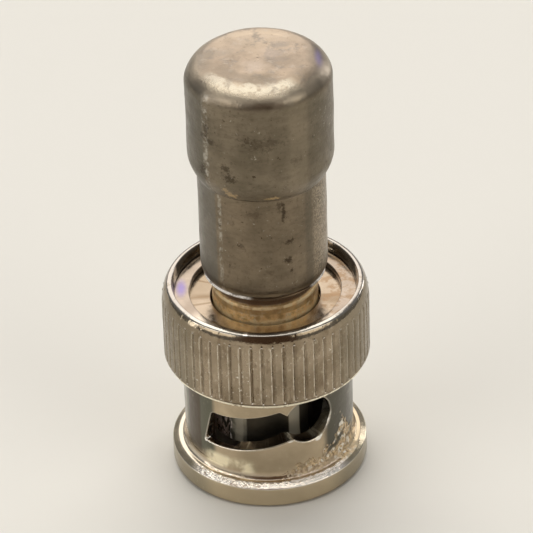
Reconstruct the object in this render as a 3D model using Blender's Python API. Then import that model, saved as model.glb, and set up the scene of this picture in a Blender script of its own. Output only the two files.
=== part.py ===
"""Bayonet coaxial terminator, standing on the mouth of its coupling nut.

Units are metres and +Z is up. The origin is the centre of the nut's mouth face.
The nut's mouth points down and the closed end cap is at the top.
Angles round the axis are measured from the front, which is -Y, and grow towards +X.
"""

import math

import bmesh
import bpy
from mathutils import Matrix, Vector

# Clearances
seat_gap = 0.00005          # between pieces that are pressed or clamped together
running_gap = 0.0001        # between pieces that turn or slide on each other
merge_distance = 0.0000001  # joins the first and last step of a turned shape

# Facets round a full turn
nut_segments = 60
shell_segments = 40
inner_segments = 32
small_segments = 16
slot_stations = 18
detent_sides = 32

# Facets along a round edge, and the angle from which an edge is shaded sharp
small_round_steps = 2
round_steps = 3
large_round_steps = 5
sharp_angle = 32.0

# Cutting tools
tool_reach = 0.0006         # how far a cutting tool stands past the wall that it cuts

# Coupling nut, outside
barrel_wall = 0.00107
flange_step = 0.00096       # from the barrel's radius to the flange's
flange_height = 0.00185
flange_bottom_round = 0.00035
flange_top_round = 0.00012
barrel_length = 0.00695
barrel_fillet = 0.00045
knurl_step = 0.00128        # from the barrel's radius to the knurled ring's
knurl_ring_height = 0.00594
knurl_edge_chamfer = 0.0003
shoulder_height = 0.0017
shoulder_depth = 0.00066

# Coupling nut, knurl of straight V grooves
groove_count = 60
groove_depth = 0.00015
groove_width = 0.00028
groove_bottom_land = 0.0004
groove_top_land = 0.0009
groove_tool_reach = 0.0001

# Coupling nut, inside
jack_space = 0.0008         # room for the jack's shell between the outer contact and the nut's bore
mouth_chamfer = 0.0003
retainer_seat_wall = 0.00078
retainer_ledge = 0.00037    # the step inside the nut that the retaining ring sits on
rim_flat = 0.00003
rim_lip_depth = 0.00074

# Bayonet slots
slot_count = 2
slot_start_angle = -49.5
slot_start_skew = 7.0
slot_width = 0.00272
slot_rise = 0.00103
slot_curve = 2.2
throat_angle = 13.3
throat_width = 0.00202
tooth_angle = 7.0
detent_angle = 28.4
detent_radius = 0.00181
detent_overlap = 0.001     # how far the slot's sweep runs into the detent's circle
detent_drop = 0.00249       # from the knurled ring's lower face to the detent's centre
throat_drop = 0.00136       # from the detent's centre down to the slot's edge at the throat
stud_groove_angle = -38.0
stud_groove_width = 0.0023
stud_groove_depth = 0.0007
stud_groove_inset = 0.0003  # from the channel's end to the slot's rear edge

# Parts held in the back of the nut
retainer_depth = 0.00078    # from the nut's rim to the retaining ring's rear face
retainer_width = 0.00112
retainer_thickness = 0.00042
retainer_edge = 0.00008
washer_thickness = 0.0004
spring_space = 0.00119
spring_thickness = 0.00015
spring_waves = 3
spring_neck_space = 0.00059

# Plug body
body_flange_thickness = 0.0008
boss_length = 0.0005
neck_wall = 0.00046
neck_length = 0.00375
neck_round = 0.0003
neck_step = 0.00036         # from the neck's radius down to the spigot's
spigot_length = 0.0039
spigot_chamfer = 0.0002
spigot_wall = 0.00085

# Slotted outer contact
contact_radius = 0.0041
contact_wall = 0.0005
contact_length = 0.0073
contact_bead = 0.00008
contact_bead_length = 0.0012
contact_bead_land = 0.0007
contact_nose_round = 0.0002
contact_finger_pairs = 2
contact_slot_width = 0.00045
contact_slot_length = 0.0052
contact_slot_angle = 45.0
contact_spigot_step = 0.0009
contact_spigot_wall = 0.0006
contact_spigot_length = 0.00285

# Gasket
gasket_thickness = 0.00105

# Insulators and centre pin
insulator_setback = 0.0012
insulator_edge = 0.0001
insulator_wall = 0.0011
insulator_recess_depth = 0.0044
pin_radius = 0.00067
pin_setback = 0.0002
pin_collar_radius = 0.0011
pin_collar_length = 0.001
pin_tail_radius = 0.0008
pin_cup_radius = 0.00045
pin_cup_depth = 0.002
pin_tail_proud = 0.0003
rear_insulator_setback = 0.0007

# Stem
stem_wall = 0.00103
stem_end_height = 0.00085
stem_end_depth = 0.0005
stem_length = 0.0083
crimp_groove_depth = 0.00045
crimp_groove_length = 0.00105
crimp_ramp_length = 0.0009
stem_head_step = 0.00005

# End cap, a drawn cup whose lower edge is rolled in
cap_edge_step = 0.00009     # from the stem's radius to the cap's rolled-in edge
cap_wall = 0.00045
cap_top_thickness = 0.0005
cap_length = 0.00855
cap_swage_length = 0.0015
cap_top_round = 0.00145

# Load resistor and its ground connection
ground_disc_inset = 0.00028
ground_disc_thickness = 0.0004
lead_radius = 0.0003
lead_cup_reach = 0.0016
front_lead_length = 0.0012
rear_lead_length = 0.0016   # from the resistor to the ground disc
resistor_core_radius = 0.00135
resistor_coat_radius = 0.00155
resistor_cap_length = 0.0015
resistor_cap_wall = 0.0002
sleeve_wall = 0.0002
sleeve_overhang = 0.0005
front_solder_height = 0.00045
rear_solder_height = 0.0003
rear_solder_radius = 0.001
solder_crest_width = 0.00012
solder_rim = 0.00005

# Heights worked out from the sizes above, from the mouth upwards
knurl_bottom = flange_height + barrel_length
nut_length = knurl_bottom + knurl_ring_height
retainer_top = nut_length - retainer_depth
retainer_bottom = retainer_top - retainer_thickness
washer_top = retainer_bottom - seat_gap
washer_bottom = washer_top - washer_thickness
body_flange_rear = washer_bottom - spring_space
body_flange_front = body_flange_rear - body_flange_thickness
nut_shoulder = body_flange_front - seat_gap
boss_front = body_flange_front - boss_length
contact_shoulder = boss_front - seat_gap
contact_tip = contact_shoulder - contact_length
contact_step = contact_shoulder - contact_wall
contact_rear = contact_shoulder + contact_spigot_length
gasket_rear = boss_front - seat_gap
gasket_front = gasket_rear - gasket_thickness
insulator_front = contact_tip + insulator_setback
insulator_step = contact_step - seat_gap
insulator_rear = contact_rear - seat_gap
body_bore_step = contact_rear + seat_gap
pin_collar_front = insulator_rear + seat_gap
pin_collar_rear = pin_collar_front + pin_collar_length
rear_insulator_front = body_bore_step + seat_gap
neck_top = body_flange_rear + neck_length
spigot_top = neck_top + spigot_length
rear_insulator_top = spigot_top - rear_insulator_setback
pin_tip = contact_tip + pin_setback
pin_rear = spigot_top + pin_tail_proud
pin_cup_floor = pin_rear - pin_cup_depth
stem_bottom = neck_top + running_gap
cap_seam = stem_bottom + stem_length
cap_bottom = cap_seam + seat_gap
cap_top = cap_bottom + cap_length
cap_roof = cap_top - cap_top_thickness
rear_lead_top = cap_roof - seat_gap * 2
rear_solder_top = rear_lead_top - seat_gap
rear_solder_bottom = rear_solder_top - rear_solder_height
ground_disc_top = rear_solder_bottom - seat_gap
ground_disc_bottom = ground_disc_top - ground_disc_thickness
stem_top = ground_disc_bottom - seat_gap
lead_bottom = pin_rear - lead_cup_reach
resistor_front = pin_rear + front_lead_length
resistor_rear = ground_disc_bottom - rear_lead_length

# Radii of the nut and of what sits in it, worked out from the outer contact outwards
nut_bore_radius = contact_radius + jack_space
stud_groove_radius = nut_bore_radius + stud_groove_depth
barrel_radius = nut_bore_radius + barrel_wall
flange_radius = barrel_radius + flange_step
knurl_radius = barrel_radius + knurl_step
rim_inner_radius = knurl_radius - shoulder_depth - rim_flat
retainer_seat_radius = knurl_radius - retainer_seat_wall
retainer_radius = retainer_seat_radius - seat_gap
retainer_inner_radius = retainer_radius - retainer_width
rim_lip_radius = retainer_radius - running_gap
spring_bore_radius = retainer_seat_radius - retainer_ledge
washer_radius = spring_bore_radius - running_gap
body_flange_radius = spring_bore_radius - running_gap
boss_radius = nut_bore_radius - running_gap

# Radii of the plug, the stem and the cap, worked out from the same contact
contact_bore_radius = contact_radius - contact_wall
contact_spigot_radius = contact_radius - contact_spigot_step
contact_spigot_bore = contact_spigot_radius - contact_spigot_wall
contact_seat_radius = contact_spigot_radius + seat_gap
insulator_radius = contact_bore_radius - seat_gap
insulator_recess_radius = insulator_radius - insulator_wall
neck_radius = contact_seat_radius + neck_wall
washer_inner_radius = neck_radius + running_gap
spring_inner_radius = neck_radius + spring_neck_space
spigot_radius = neck_radius - neck_step
body_bore_radius = spigot_radius - spigot_wall
stem_bore_radius = spigot_radius + seat_gap
stem_radius = stem_bore_radius + stem_wall
crimp_groove_radius = stem_radius - crimp_groove_depth
stem_head_radius = stem_radius + stem_head_step
cap_edge_radius = stem_radius + cap_edge_step
cap_radius = stem_head_radius + running_gap + cap_wall
ground_disc_radius = stem_radius - ground_disc_inset

# Heights of the seats and of the bayonet slots
retainer_seat_bottom = retainer_bottom - seat_gap
rim_lip_bottom = retainer_top + seat_gap
detent_height = knurl_bottom - detent_drop
slot_low_end = detent_height - throat_drop - slot_rise
sleeve_inner_radius = resistor_core_radius + seat_gap + resistor_cap_wall + running_gap


def clear_scene():
    """Remove every object, so that the script can be run again from the text editor."""
    for item in list(bpy.data.objects):
        bpy.data.objects.remove(item, do_unlink=True)


def finish(name, color, roughness, metallic):
    """A Principled material with one colour, roughness and metallic value."""
    material = bpy.data.materials.new(name)
    material.use_nodes = True
    shader = material.node_tree.nodes["Principled BSDF"]
    shader.inputs["Base Color"].default_value = (*color, 1.0)
    shader.inputs["Roughness"].default_value = roughness
    shader.inputs["Metallic"].default_value = metallic
    return material


def bright_nickel():
    return finish("bright_nickel", (0.62, 0.59, 0.54), 0.2, 1.0)


def dull_nickel():
    return finish("dull_nickel", (0.40, 0.37, 0.32), 0.38, 1.0)


def warm_nickel():
    return finish("warm_nickel", (0.66, 0.54, 0.36), 0.22, 1.0)


def spring_bronze():
    return finish("spring_bronze", (0.58, 0.42, 0.24), 0.3, 1.0)


def gold_plate():
    return finish("gold_plate", (0.80, 0.60, 0.25), 0.22, 1.0)


def white_insulator():
    return finish("white_insulator", (0.85, 0.84, 0.80), 0.5, 0.0)


def seal_rubber():
    return finish("seal_rubber", (0.10, 0.09, 0.08), 0.7, 0.0)


def tinned_copper():
    return finish("tinned_copper", (0.66, 0.65, 0.62), 0.3, 1.0)


def solder():
    return finish("solder", (0.55, 0.55, 0.56), 0.35, 1.0)


def resistor_coating():
    return finish("resistor_coating", (0.62, 0.50, 0.34), 0.55, 0.0)


def shrink_plastic():
    return finish("shrink_plastic", (0.05, 0.05, 0.055), 0.5, 0.0)


def link(name, mesh, material):
    """Put a mesh in the scene as one named object, with its smooth faces shaded smooth."""
    part = bpy.data.objects.new(name, mesh)
    bpy.context.scene.collection.objects.link(part)
    if material:
        mesh.materials.append(material)
    mesh.shade_smooth()
    mesh.set_sharp_from_angle(angle=math.radians(sharp_angle))
    return part


def arc(center_radius, center_height, across, up, start, end, steps):
    """Points of (radius, height) on an elliptical arc, from the start angle to the end angle."""
    points = []
    for step in range(steps + 1):
        turn = math.radians(start + (end - start) * step / steps)
        points.append((center_radius + across * math.cos(turn), center_height + up * math.sin(turn)))
    return points


def turned(name, outline, segments, material):
    """Spin an outline of (radius, height) points a full turn about Z into one closed solid.

    An outline that starts and ends on the axis makes a solid piece, any other one a ring.
    """
    mesh = bpy.data.meshes.new(name)
    bm = bmesh.new()
    points = [bm.verts.new((radius, 0.0, height)) for radius, height in outline]
    path = points if outline[0][0] == 0.0 else points + points[:1]
    edges = [bm.edges.new(pair) for pair in zip(path, path[1:])]
    bmesh.ops.spin(bm, geom=points + edges, cent=(0.0, 0.0, 0.0), axis=(0.0, 0.0, 1.0),
                   angle=math.tau, steps=segments, use_merge=True)
    bmesh.ops.remove_doubles(bm, verts=bm.verts, dist=merge_distance)
    bmesh.ops.recalc_face_normals(bm, faces=bm.faces)
    bm.to_mesh(mesh)
    bm.free()
    return link(name, mesh, material)


def cut(target, tool):
    """Take the tool's volume out of the target with an exact Boolean."""
    modifier = target.modifiers.new(tool.name, "BOOLEAN")
    modifier.operation = "DIFFERENCE"
    modifier.object = tool
    tool.hide_render = True
    tool.display_type = "WIRE"


def around(angle, radius, height):
    """The point at an angle from the front, a radius and a height."""
    turn = math.radians(angle)
    return Vector((radius * math.sin(turn), -radius * math.cos(turn), height))


def add_hull(bm, rings):
    """Close a stack of loops of equal length with side faces and two end faces."""
    loops = [[bm.verts.new(point) for point in ring] for ring in rings]
    count = len(loops[0])
    for first, second in zip(loops, loops[1:]):
        for index in range(count):
            following = (index + 1) % count
            bm.faces.new((first[index], first[following], second[following], second[index]))
    bm.faces.new(list(reversed(loops[0])))
    bm.faces.new(loops[-1])


def tool_from(name, stacks):
    """One cutting object from any number of separate closed stacks of loops."""
    mesh = bpy.data.meshes.new(name)
    bm = bmesh.new()
    for rings in stacks:
        add_hull(bm, rings)
    bmesh.ops.recalc_face_normals(bm, faces=bm.faces)
    bm.to_mesh(mesh)
    bm.free()
    return link(name, mesh, None)


def knurl_groove_rings(angle):
    """One V groove: a prism whose ends slope out, so that the groove runs out at 45 degrees."""
    root = knurl_radius - groove_depth
    mouth = knurl_radius + groove_tool_reach
    half = math.degrees(groove_width / 2 / knurl_radius) * (mouth - root) / groove_depth
    low = knurl_bottom + groove_bottom_land
    high = nut_length - groove_top_land
    rings = []
    for end, inward in ((low, 1.0), (high, -1.0)):
        rings.append([
            around(angle, root, end + inward * groove_depth),
            around(angle + half, mouth, end - inward * groove_tool_reach),
            around(angle - half, mouth, end - inward * groove_tool_reach),
        ])
    return rings


def knurl_tool():
    """All the knurl's grooves, each at the middle of a facet of the turned ring."""
    pitch = 360.0 / groove_count
    grooves = [knurl_groove_rings(pitch * (index + 0.5)) for index in range(groove_count)]
    return tool_from("knurl_tool", grooves)


def slot_low_edge(angle):
    """Height of the slot's mouth-side edge: level at the entry, then rising to the throat."""
    share = (angle - slot_start_angle) / (throat_angle - slot_start_angle)
    return slot_low_end + slot_rise * min(max(share, 0.0), 1.0) ** slot_curve


def slot_high_edge(angle):
    """Height of the slot's rear edge: it follows the low edge, then drops at the throat's tooth."""
    share = (angle - tooth_angle) / (throat_angle - tooth_angle)
    tooth = (slot_width - throat_width) * min(max(share, 0.0), 1.0)
    return slot_low_edge(angle) + slot_width - tooth


def slot_tool(index):
    """A curved slot swept round the barrel, from the stud's entry to inside the detent."""
    turn = 360.0 / slot_count * index
    inner = nut_bore_radius - tool_reach
    outer = barrel_radius + tool_reach
    last = detent_angle - math.degrees((detent_radius - detent_overlap) / barrel_radius)
    rings = []
    for station in range(slot_stations + 1):
        share = station / slot_stations
        angle = slot_start_angle + (last - slot_start_angle) * share
        skewed = angle + slot_start_skew * (1.0 - share)
        low = slot_low_edge(angle)
        high = slot_high_edge(skewed)
        rings.append([
            around(angle + turn, inner, low),
            around(angle + turn, outer, low),
            around(skewed + turn, outer, high),
            around(skewed + turn, inner, high),
        ])
    return tool_from(f"slot_tool_{index + 1}", [rings])


def detent_tool(index):
    """The round hole at the slot's end that the jack's stud drops into."""
    turn = 360.0 / slot_count * index
    inner = nut_bore_radius - tool_reach
    outer = barrel_radius + tool_reach
    outward = around(detent_angle + turn, 1.0, 0.0)
    sideways = Vector((0.0, 0.0, 1.0)).cross(outward)
    rings = []
    for depth in (inner, outer):
        center = outward * depth + Vector((0.0, 0.0, detent_height))
        ring = []
        for side in range(detent_sides):
            step = math.tau * side / detent_sides
            offset = sideways * math.cos(step) + Vector((0.0, 0.0, math.sin(step)))
            ring.append(center + offset * detent_radius)
        rings.append(ring)
    return tool_from(f"detent_tool_{index + 1}", [rings])


def stud_groove_tool(index):
    """The channel along the bore that lets the jack's stud in from the mouth to the slot."""
    turn = math.radians(stud_groove_angle + 360.0 / slot_count * index)
    half = stud_groove_width / 2
    inner = nut_bore_radius - tool_reach
    outer = math.sqrt(stud_groove_radius ** 2 - half ** 2)
    top = slot_low_edge(stud_groove_angle) + slot_width - stud_groove_inset
    spin = Matrix.Rotation(turn, 3, "Z")
    rings = []
    for height in (-mouth_chamfer, top):
        corners = ((-half, -inner), (-half, -outer), (half, -outer), (half, -inner))
        rings.append([spin @ Vector((x, y, height)) for x, y in corners])
    return tool_from(f"stud_groove_tool_{index + 1}", [rings])


def coupling_nut():
    """The bayonet nut: flange, slotted barrel and knurled ring, bored through and counterbored."""
    shoulder_start = nut_length - shoulder_height
    outline = [(nut_bore_radius + mouth_chamfer, 0.0)]
    outline += arc(flange_radius - flange_bottom_round, flange_bottom_round,
                   flange_bottom_round, flange_bottom_round, -90.0, 0.0, round_steps)
    outline += arc(flange_radius - flange_top_round, flange_height - flange_top_round,
                   flange_top_round, flange_top_round, 0.0, 90.0, 1)
    outline += arc(barrel_radius + barrel_fillet, flange_height + barrel_fillet,
                   barrel_fillet, barrel_fillet, 270.0, 180.0, small_round_steps)
    outline += [
        (barrel_radius, knurl_bottom),
        (knurl_radius - knurl_edge_chamfer, knurl_bottom),
        (knurl_radius, knurl_bottom + knurl_edge_chamfer),
    ]
    outline += arc(knurl_radius - shoulder_depth, shoulder_start,
                   shoulder_depth, shoulder_height, 0.0, 90.0, large_round_steps)
    outline += [
        (rim_inner_radius, nut_length - seat_gap),
        (rim_lip_radius, nut_length - rim_lip_depth + seat_gap * 2),
        (rim_lip_radius, rim_lip_bottom),
        (retainer_seat_radius, rim_lip_bottom),
        (retainer_seat_radius, retainer_seat_bottom),
        (spring_bore_radius, retainer_seat_bottom),
        (spring_bore_radius, nut_shoulder),
        (nut_bore_radius, nut_shoulder),
        (nut_bore_radius, mouth_chamfer),
    ]
    nut = turned("coupling_nut", outline, nut_segments, bright_nickel())
    for index in range(slot_count):
        cut(nut, detent_tool(index))
        cut(nut, slot_tool(index))
        cut(nut, stud_groove_tool(index))
    cut(nut, knurl_tool())


def ring(name, inner, outer, bottom, top, segments, material):
    """A flat ring of square section."""
    outline = [(inner, bottom), (outer, bottom), (outer, top), (inner, top)]
    return turned(name, outline, segments, material)


def retaining_ring():
    """The ring under the nut's rolled rim that holds the spring stack in, with its rear edges broken."""
    edge = retainer_edge
    outline = [
        (retainer_inner_radius, retainer_bottom),
        (retainer_radius, retainer_bottom),
        (retainer_radius, retainer_top - edge),
        (retainer_radius - edge, retainer_top),
        (retainer_inner_radius + edge, retainer_top),
        (retainer_inner_radius, retainer_top - edge),
    ]
    turned("retaining_ring", outline, shell_segments, bright_nickel())


def thrust_washer():
    """The flat washer that the wave springs push against."""
    ring("thrust_washer", washer_inner_radius, washer_radius, washer_bottom, washer_top,
         shell_segments, warm_nickel())


def wave_spring(index):
    """One wave washer. The second is turned so that its crests meet those of the first."""
    height = (spring_space - 3 * seat_gap) / 2
    swing = (height - spring_thickness) / 2
    bottom = body_flange_rear + seat_gap + index * (height + seat_gap) + swing
    outline = [
        (spring_inner_radius, bottom),
        (washer_radius - running_gap, bottom),
        (washer_radius - running_gap, bottom + spring_thickness),
        (spring_inner_radius, bottom + spring_thickness),
    ]
    spring = turned(f"wave_spring_{index + 1}", outline, shell_segments, spring_bronze())
    half_wave = math.pi * index
    for vertex in spring.data.vertices:
        turn = math.atan2(vertex.co.y, vertex.co.x)
        vertex.co.z += swing * math.cos(spring_waves * turn + half_wave)


def plug_body():
    """The turned body: front boss, flange inside the nut, neck and the spigot that takes the stem."""
    outline = [
        (contact_seat_radius, boss_front),
        (boss_radius, boss_front),
        (boss_radius, body_flange_front),
        (body_flange_radius, body_flange_front),
        (body_flange_radius, body_flange_rear),
        (neck_radius, body_flange_rear),
    ]
    outline += arc(neck_radius - neck_round, neck_top - neck_round,
                   neck_round, neck_round, 0.0, 90.0, round_steps)
    outline += [
        (spigot_radius, neck_top),
        (spigot_radius, spigot_top - spigot_chamfer),
        (spigot_radius - spigot_chamfer, spigot_top),
        (body_bore_radius, spigot_top),
        (body_bore_radius, body_bore_step),
        (contact_seat_radius, body_bore_step),
    ]
    turned("plug_body", outline, shell_segments, warm_nickel())


def contact_slot_tool(index):
    """A slab right across the contact's front, which parts two fingers from the other two."""
    reach = contact_radius + tool_reach
    half = contact_slot_width / 2
    turn = math.radians(contact_slot_angle + 180.0 / contact_finger_pairs * index)
    spin = Matrix.Rotation(turn, 3, "Z")
    rings = []
    for height in (contact_tip - tool_reach, contact_tip + contact_slot_length):
        corners = ((-half, -reach), (half, -reach), (half, reach), (-half, reach))
        rings.append([spin @ Vector((x, y, height)) for x, y in corners])
    return tool_from(f"contact_slot_tool_{index + 1}", [rings])


def outer_contact():
    """The spring-finger ferrule that enters the jack, pressed into the body by its rear spigot."""
    bead_radius = contact_radius + contact_bead
    nose = contact_nose_round
    outline = [(contact_bore_radius + nose, contact_tip)]
    outline += arc(bead_radius - nose, contact_tip + nose, nose, nose, -90.0, 0.0, small_round_steps)
    outline += [
        (bead_radius, contact_tip + contact_bead_land),
        (contact_radius, contact_tip + contact_bead_length),
        (contact_radius, contact_shoulder),
        (contact_spigot_radius, contact_shoulder),
        (contact_spigot_radius, contact_rear),
        (contact_spigot_bore, contact_rear),
        (contact_spigot_bore, contact_step),
        (contact_bore_radius, contact_step),
        (contact_bore_radius, contact_tip + nose),
    ]
    contact = turned("outer_contact", outline, inner_segments, bright_nickel())
    for index in range(contact_finger_pairs):
        cut(contact, contact_slot_tool(index))


def gasket():
    """The seal round the outer contact that the jack's rim presses on."""
    ring("gasket", contact_radius + seat_gap, boss_radius, gasket_front, gasket_rear,
         inner_segments, seal_rubber())


def front_insulator():
    """The dielectric sleeve: a deep round recess round the pin, and a web that the pin passes."""
    outer = insulator_radius
    hole = pin_radius + seat_gap
    recess_floor = insulator_front + insulator_recess_depth
    edge = insulator_edge
    outline = [
        (insulator_recess_radius + edge, insulator_front),
        (outer - edge, insulator_front),
        (outer, insulator_front + edge),
        (outer, insulator_step),
        (contact_spigot_bore - seat_gap, insulator_step),
        (contact_spigot_bore - seat_gap, insulator_rear),
        (hole, insulator_rear),
        (hole, recess_floor),
        (insulator_recess_radius, recess_floor),
        (insulator_recess_radius, insulator_front + edge),
    ]
    turned("front_insulator", outline, inner_segments, white_insulator())


def rear_insulator():
    """The bush behind the pin's collar, which holds the pin in the middle of the body."""
    hole = pin_tail_radius + seat_gap
    collar_hole = pin_collar_radius + seat_gap
    collar_end = pin_collar_rear + seat_gap
    outline = [
        (collar_hole, rear_insulator_front),
        (body_bore_radius - seat_gap, rear_insulator_front),
        (body_bore_radius - seat_gap, rear_insulator_top),
        (hole, rear_insulator_top),
        (hole, collar_end),
        (collar_hole, collar_end),
    ]
    turned("rear_insulator", outline, inner_segments, white_insulator())


def center_pin():
    """The turned pin: round nose, locating collar, and a tail drilled out as a solder cup."""
    outline = [(0.0, pin_tip)]
    outline += arc(0.0, pin_tip + pin_radius, pin_radius, pin_radius, -60.0, 0.0, round_steps)
    outline += [
        (pin_radius, pin_collar_front),
        (pin_collar_radius, pin_collar_front),
        (pin_collar_radius, pin_collar_rear),
        (pin_tail_radius, pin_collar_rear),
        (pin_tail_radius, pin_rear),
        (pin_cup_radius, pin_rear),
        (pin_cup_radius, pin_cup_floor),
        (0.0, pin_cup_floor),
    ]
    turned("center_pin", outline, small_segments, gold_plate())


def stem_sleeve():
    """The plain tube behind the nut. Its upper end has a groove and a head for the end cap."""
    groove_top = cap_seam + crimp_groove_length
    outline = [(stem_bore_radius, stem_bottom)]
    outline += arc(stem_radius - stem_end_depth, stem_bottom + stem_end_height,
                   stem_end_depth, stem_end_height, -90.0, 0.0, large_round_steps)
    outline += [
        (stem_radius, cap_seam),
        (crimp_groove_radius, cap_seam),
        (crimp_groove_radius, groove_top),
        (stem_head_radius, groove_top + crimp_ramp_length),
        (stem_head_radius, stem_top),
        (stem_bore_radius, stem_top),
    ]
    turned("stem_sleeve", outline, shell_segments, dull_nickel())


def cap_skirt(steps):
    """The cap's outer skirt from its rolled-in edge up to the end of the swage."""
    points = []
    for step in range(steps + 1):
        share = step / steps
        swell = math.sin(share * math.pi / 2)
        radius = cap_edge_radius + (cap_radius - cap_edge_radius) * swell
        points.append((radius, cap_bottom + cap_swage_length * share))
    return points


def end_cap():
    """The drawn cup over the stem's head, with a round top edge and a swaged lower edge."""
    inner_round = cap_top_round - cap_top_thickness
    inner_radius = cap_radius - cap_wall
    outline = [(0.0, cap_roof)]
    outline += arc(inner_radius - inner_round, cap_roof - inner_round,
                   inner_round, inner_round, 90.0, 0.0, round_steps)
    outline += [(radius - cap_wall, height) for radius, height in reversed(cap_skirt(round_steps))]
    outline += cap_skirt(large_round_steps)
    outline += arc(cap_radius - cap_top_round, cap_top - cap_top_round,
                   cap_top_round, cap_top_round, 0.0, 90.0, large_round_steps)
    outline += [(0.0, cap_top)]
    turned("end_cap", outline, shell_segments, dull_nickel())


def ground_disc():
    """The disc clamped on the stem's rim, which grounds the resistor's rear lead."""
    ring("ground_disc", lead_radius + seat_gap, ground_disc_radius, ground_disc_bottom, ground_disc_top,
         inner_segments, tinned_copper())


def resistor_body():
    """The resistor's ceramic core, coated between its two end caps."""
    core_start = resistor_front + resistor_cap_wall + seat_gap
    core_end = resistor_rear - resistor_cap_wall - seat_gap
    coat_start = resistor_front + resistor_cap_length + seat_gap
    coat_end = resistor_rear - resistor_cap_length - seat_gap
    outline = [
        (0.0, core_start),
        (resistor_core_radius, core_start),
        (resistor_core_radius, coat_start),
        (resistor_coat_radius, coat_start),
        (resistor_coat_radius, coat_end),
        (resistor_core_radius, coat_end),
        (resistor_core_radius, core_end),
        (0.0, core_end),
    ]
    turned("resistor_body", outline, small_segments, resistor_coating())


def resistor_cap(name, face, inward):
    """A pressed cup on the resistor's end; inward is +1 where the core lies above its face."""
    inner = resistor_core_radius + seat_gap
    outer = inner + resistor_cap_wall
    rim = face + inward * resistor_cap_length
    floor = face + inward * resistor_cap_wall
    outline = [(0.0, face), (outer, face), (outer, rim), (inner, rim), (inner, floor), (0.0, floor)]
    turned(name, outline, small_segments, tinned_copper())


def lead(name, bottom, top):
    """A straight round lead."""
    outline = [(0.0, bottom), (lead_radius, bottom), (lead_radius, top), (0.0, top)]
    turned(name, outline, small_segments, tinned_copper())


def solder_fillet(name, foot_radius, bottom, height):
    """A ring of solder that rises to the lead in a hollow curve."""
    inner = lead_radius + seat_gap
    crest = inner + solder_crest_width
    outline = [(inner, bottom), (foot_radius, bottom)]
    outline += arc(foot_radius, bottom + height, foot_radius - crest, height - solder_rim,
                   270.0, 180.0, round_steps)
    outline += [(inner, bottom + height)]
    turned(name, outline, small_segments, solder())


def resistor_sleeve():
    """The shrink sleeve that keeps the resistor's end caps off the stem."""
    bottom = resistor_front - sleeve_overhang
    top = resistor_rear + sleeve_overhang
    ring("resistor_sleeve", sleeve_inner_radius, sleeve_inner_radius + sleeve_wall, bottom, top,
         small_segments, shrink_plastic())


def load_resistor():
    """The terminating resistor with its caps, leads, sleeve and two solder joints."""
    resistor_body()
    resistor_cap("resistor_front_cap", resistor_front, 1.0)
    resistor_cap("resistor_rear_cap", resistor_rear, -1.0)
    lead("resistor_front_lead", lead_bottom, resistor_front - seat_gap)
    lead("resistor_rear_lead", resistor_rear + seat_gap, rear_lead_top)
    resistor_sleeve()
    solder_fillet("front_solder", pin_tail_radius, pin_rear + seat_gap, front_solder_height)
    solder_fillet("rear_solder", rear_solder_radius, rear_solder_bottom, rear_solder_height)


def main():
    clear_scene()
    coupling_nut()
    retaining_ring()
    thrust_washer()
    for index in range(2):
        wave_spring(index)
    plug_body()
    outer_contact()
    gasket()
    front_insulator()
    rear_insulator()
    center_pin()
    stem_sleeve()
    end_cap()
    ground_disc()
    load_resistor()


main()
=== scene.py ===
"""Looks of the bayonet terminator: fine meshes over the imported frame, worn-metal materials, studio."""

import math

import bmesh
import bpy
import numpy as np
from mathutils import Matrix, Vector, noise
from mathutils.geometry import delaunay_2d_cdt


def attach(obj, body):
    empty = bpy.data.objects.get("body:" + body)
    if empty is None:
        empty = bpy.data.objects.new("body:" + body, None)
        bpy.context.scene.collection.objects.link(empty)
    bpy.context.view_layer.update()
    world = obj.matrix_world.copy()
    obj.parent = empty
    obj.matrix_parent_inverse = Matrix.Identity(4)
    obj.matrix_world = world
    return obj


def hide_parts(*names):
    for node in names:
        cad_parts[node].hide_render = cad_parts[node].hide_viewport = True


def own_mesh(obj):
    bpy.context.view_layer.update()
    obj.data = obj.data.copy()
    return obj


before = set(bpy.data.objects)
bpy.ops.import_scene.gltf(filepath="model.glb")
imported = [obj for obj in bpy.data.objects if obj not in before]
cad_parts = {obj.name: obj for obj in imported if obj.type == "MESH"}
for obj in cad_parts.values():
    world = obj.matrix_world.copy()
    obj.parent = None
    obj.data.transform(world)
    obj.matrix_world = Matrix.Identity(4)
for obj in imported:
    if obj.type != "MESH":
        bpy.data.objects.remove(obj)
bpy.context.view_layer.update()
MM = 0.001
DEGREES = 180.0 / math.pi
rng = np.random.default_rng(7)


# Mesh helpers (all sizes in mm)

def add_object(name, verts, faces, smooth_angle=40.0, marks=None):
    mesh = bpy.data.meshes.new(name)
    mesh.from_pydata([tuple(v) for v in np.asarray(verts, float) * MM], [], faces)
    for key, values in (marks or {}).items():
        layer = mesh.attributes.new(key, "FLOAT", "POINT")
        layer.data.foreach_set("value", np.asarray(values, np.float32).ravel())
    mesh.validate()
    bm = bmesh.new()
    bm.from_mesh(mesh)
    bmesh.ops.remove_doubles(bm, verts=bm.verts, dist=1e-7)
    bmesh.ops.recalc_face_normals(bm, faces=bm.faces)
    bm.to_mesh(mesh)
    bm.free()
    mesh.shade_smooth()
    mesh.set_sharp_from_angle(angle=math.radians(smooth_angle))
    piece = bpy.data.objects.new(name, mesh)
    bpy.context.scene.collection.objects.link(piece)
    return piece


def arc(cr, cz, wide, up, start, end, steps):
    t = np.radians(np.linspace(start, end, steps + 1))
    return [(cr + wide * math.cos(a), cz + up * math.sin(a)) for a in t]


def dense(points, step):
    """Split long straight stretches of an outline, so that small dents have vertices to use."""
    out = [points[0]]
    for p, q in zip(points, points[1:]):
        n = max(1, int(math.dist(p, q) / step))
        out += [(p[0] + (q[0] - p[0]) * k / n, p[1] + (q[1] - p[1]) * k / n) for k in range(1, n + 1)]
    return out


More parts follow.
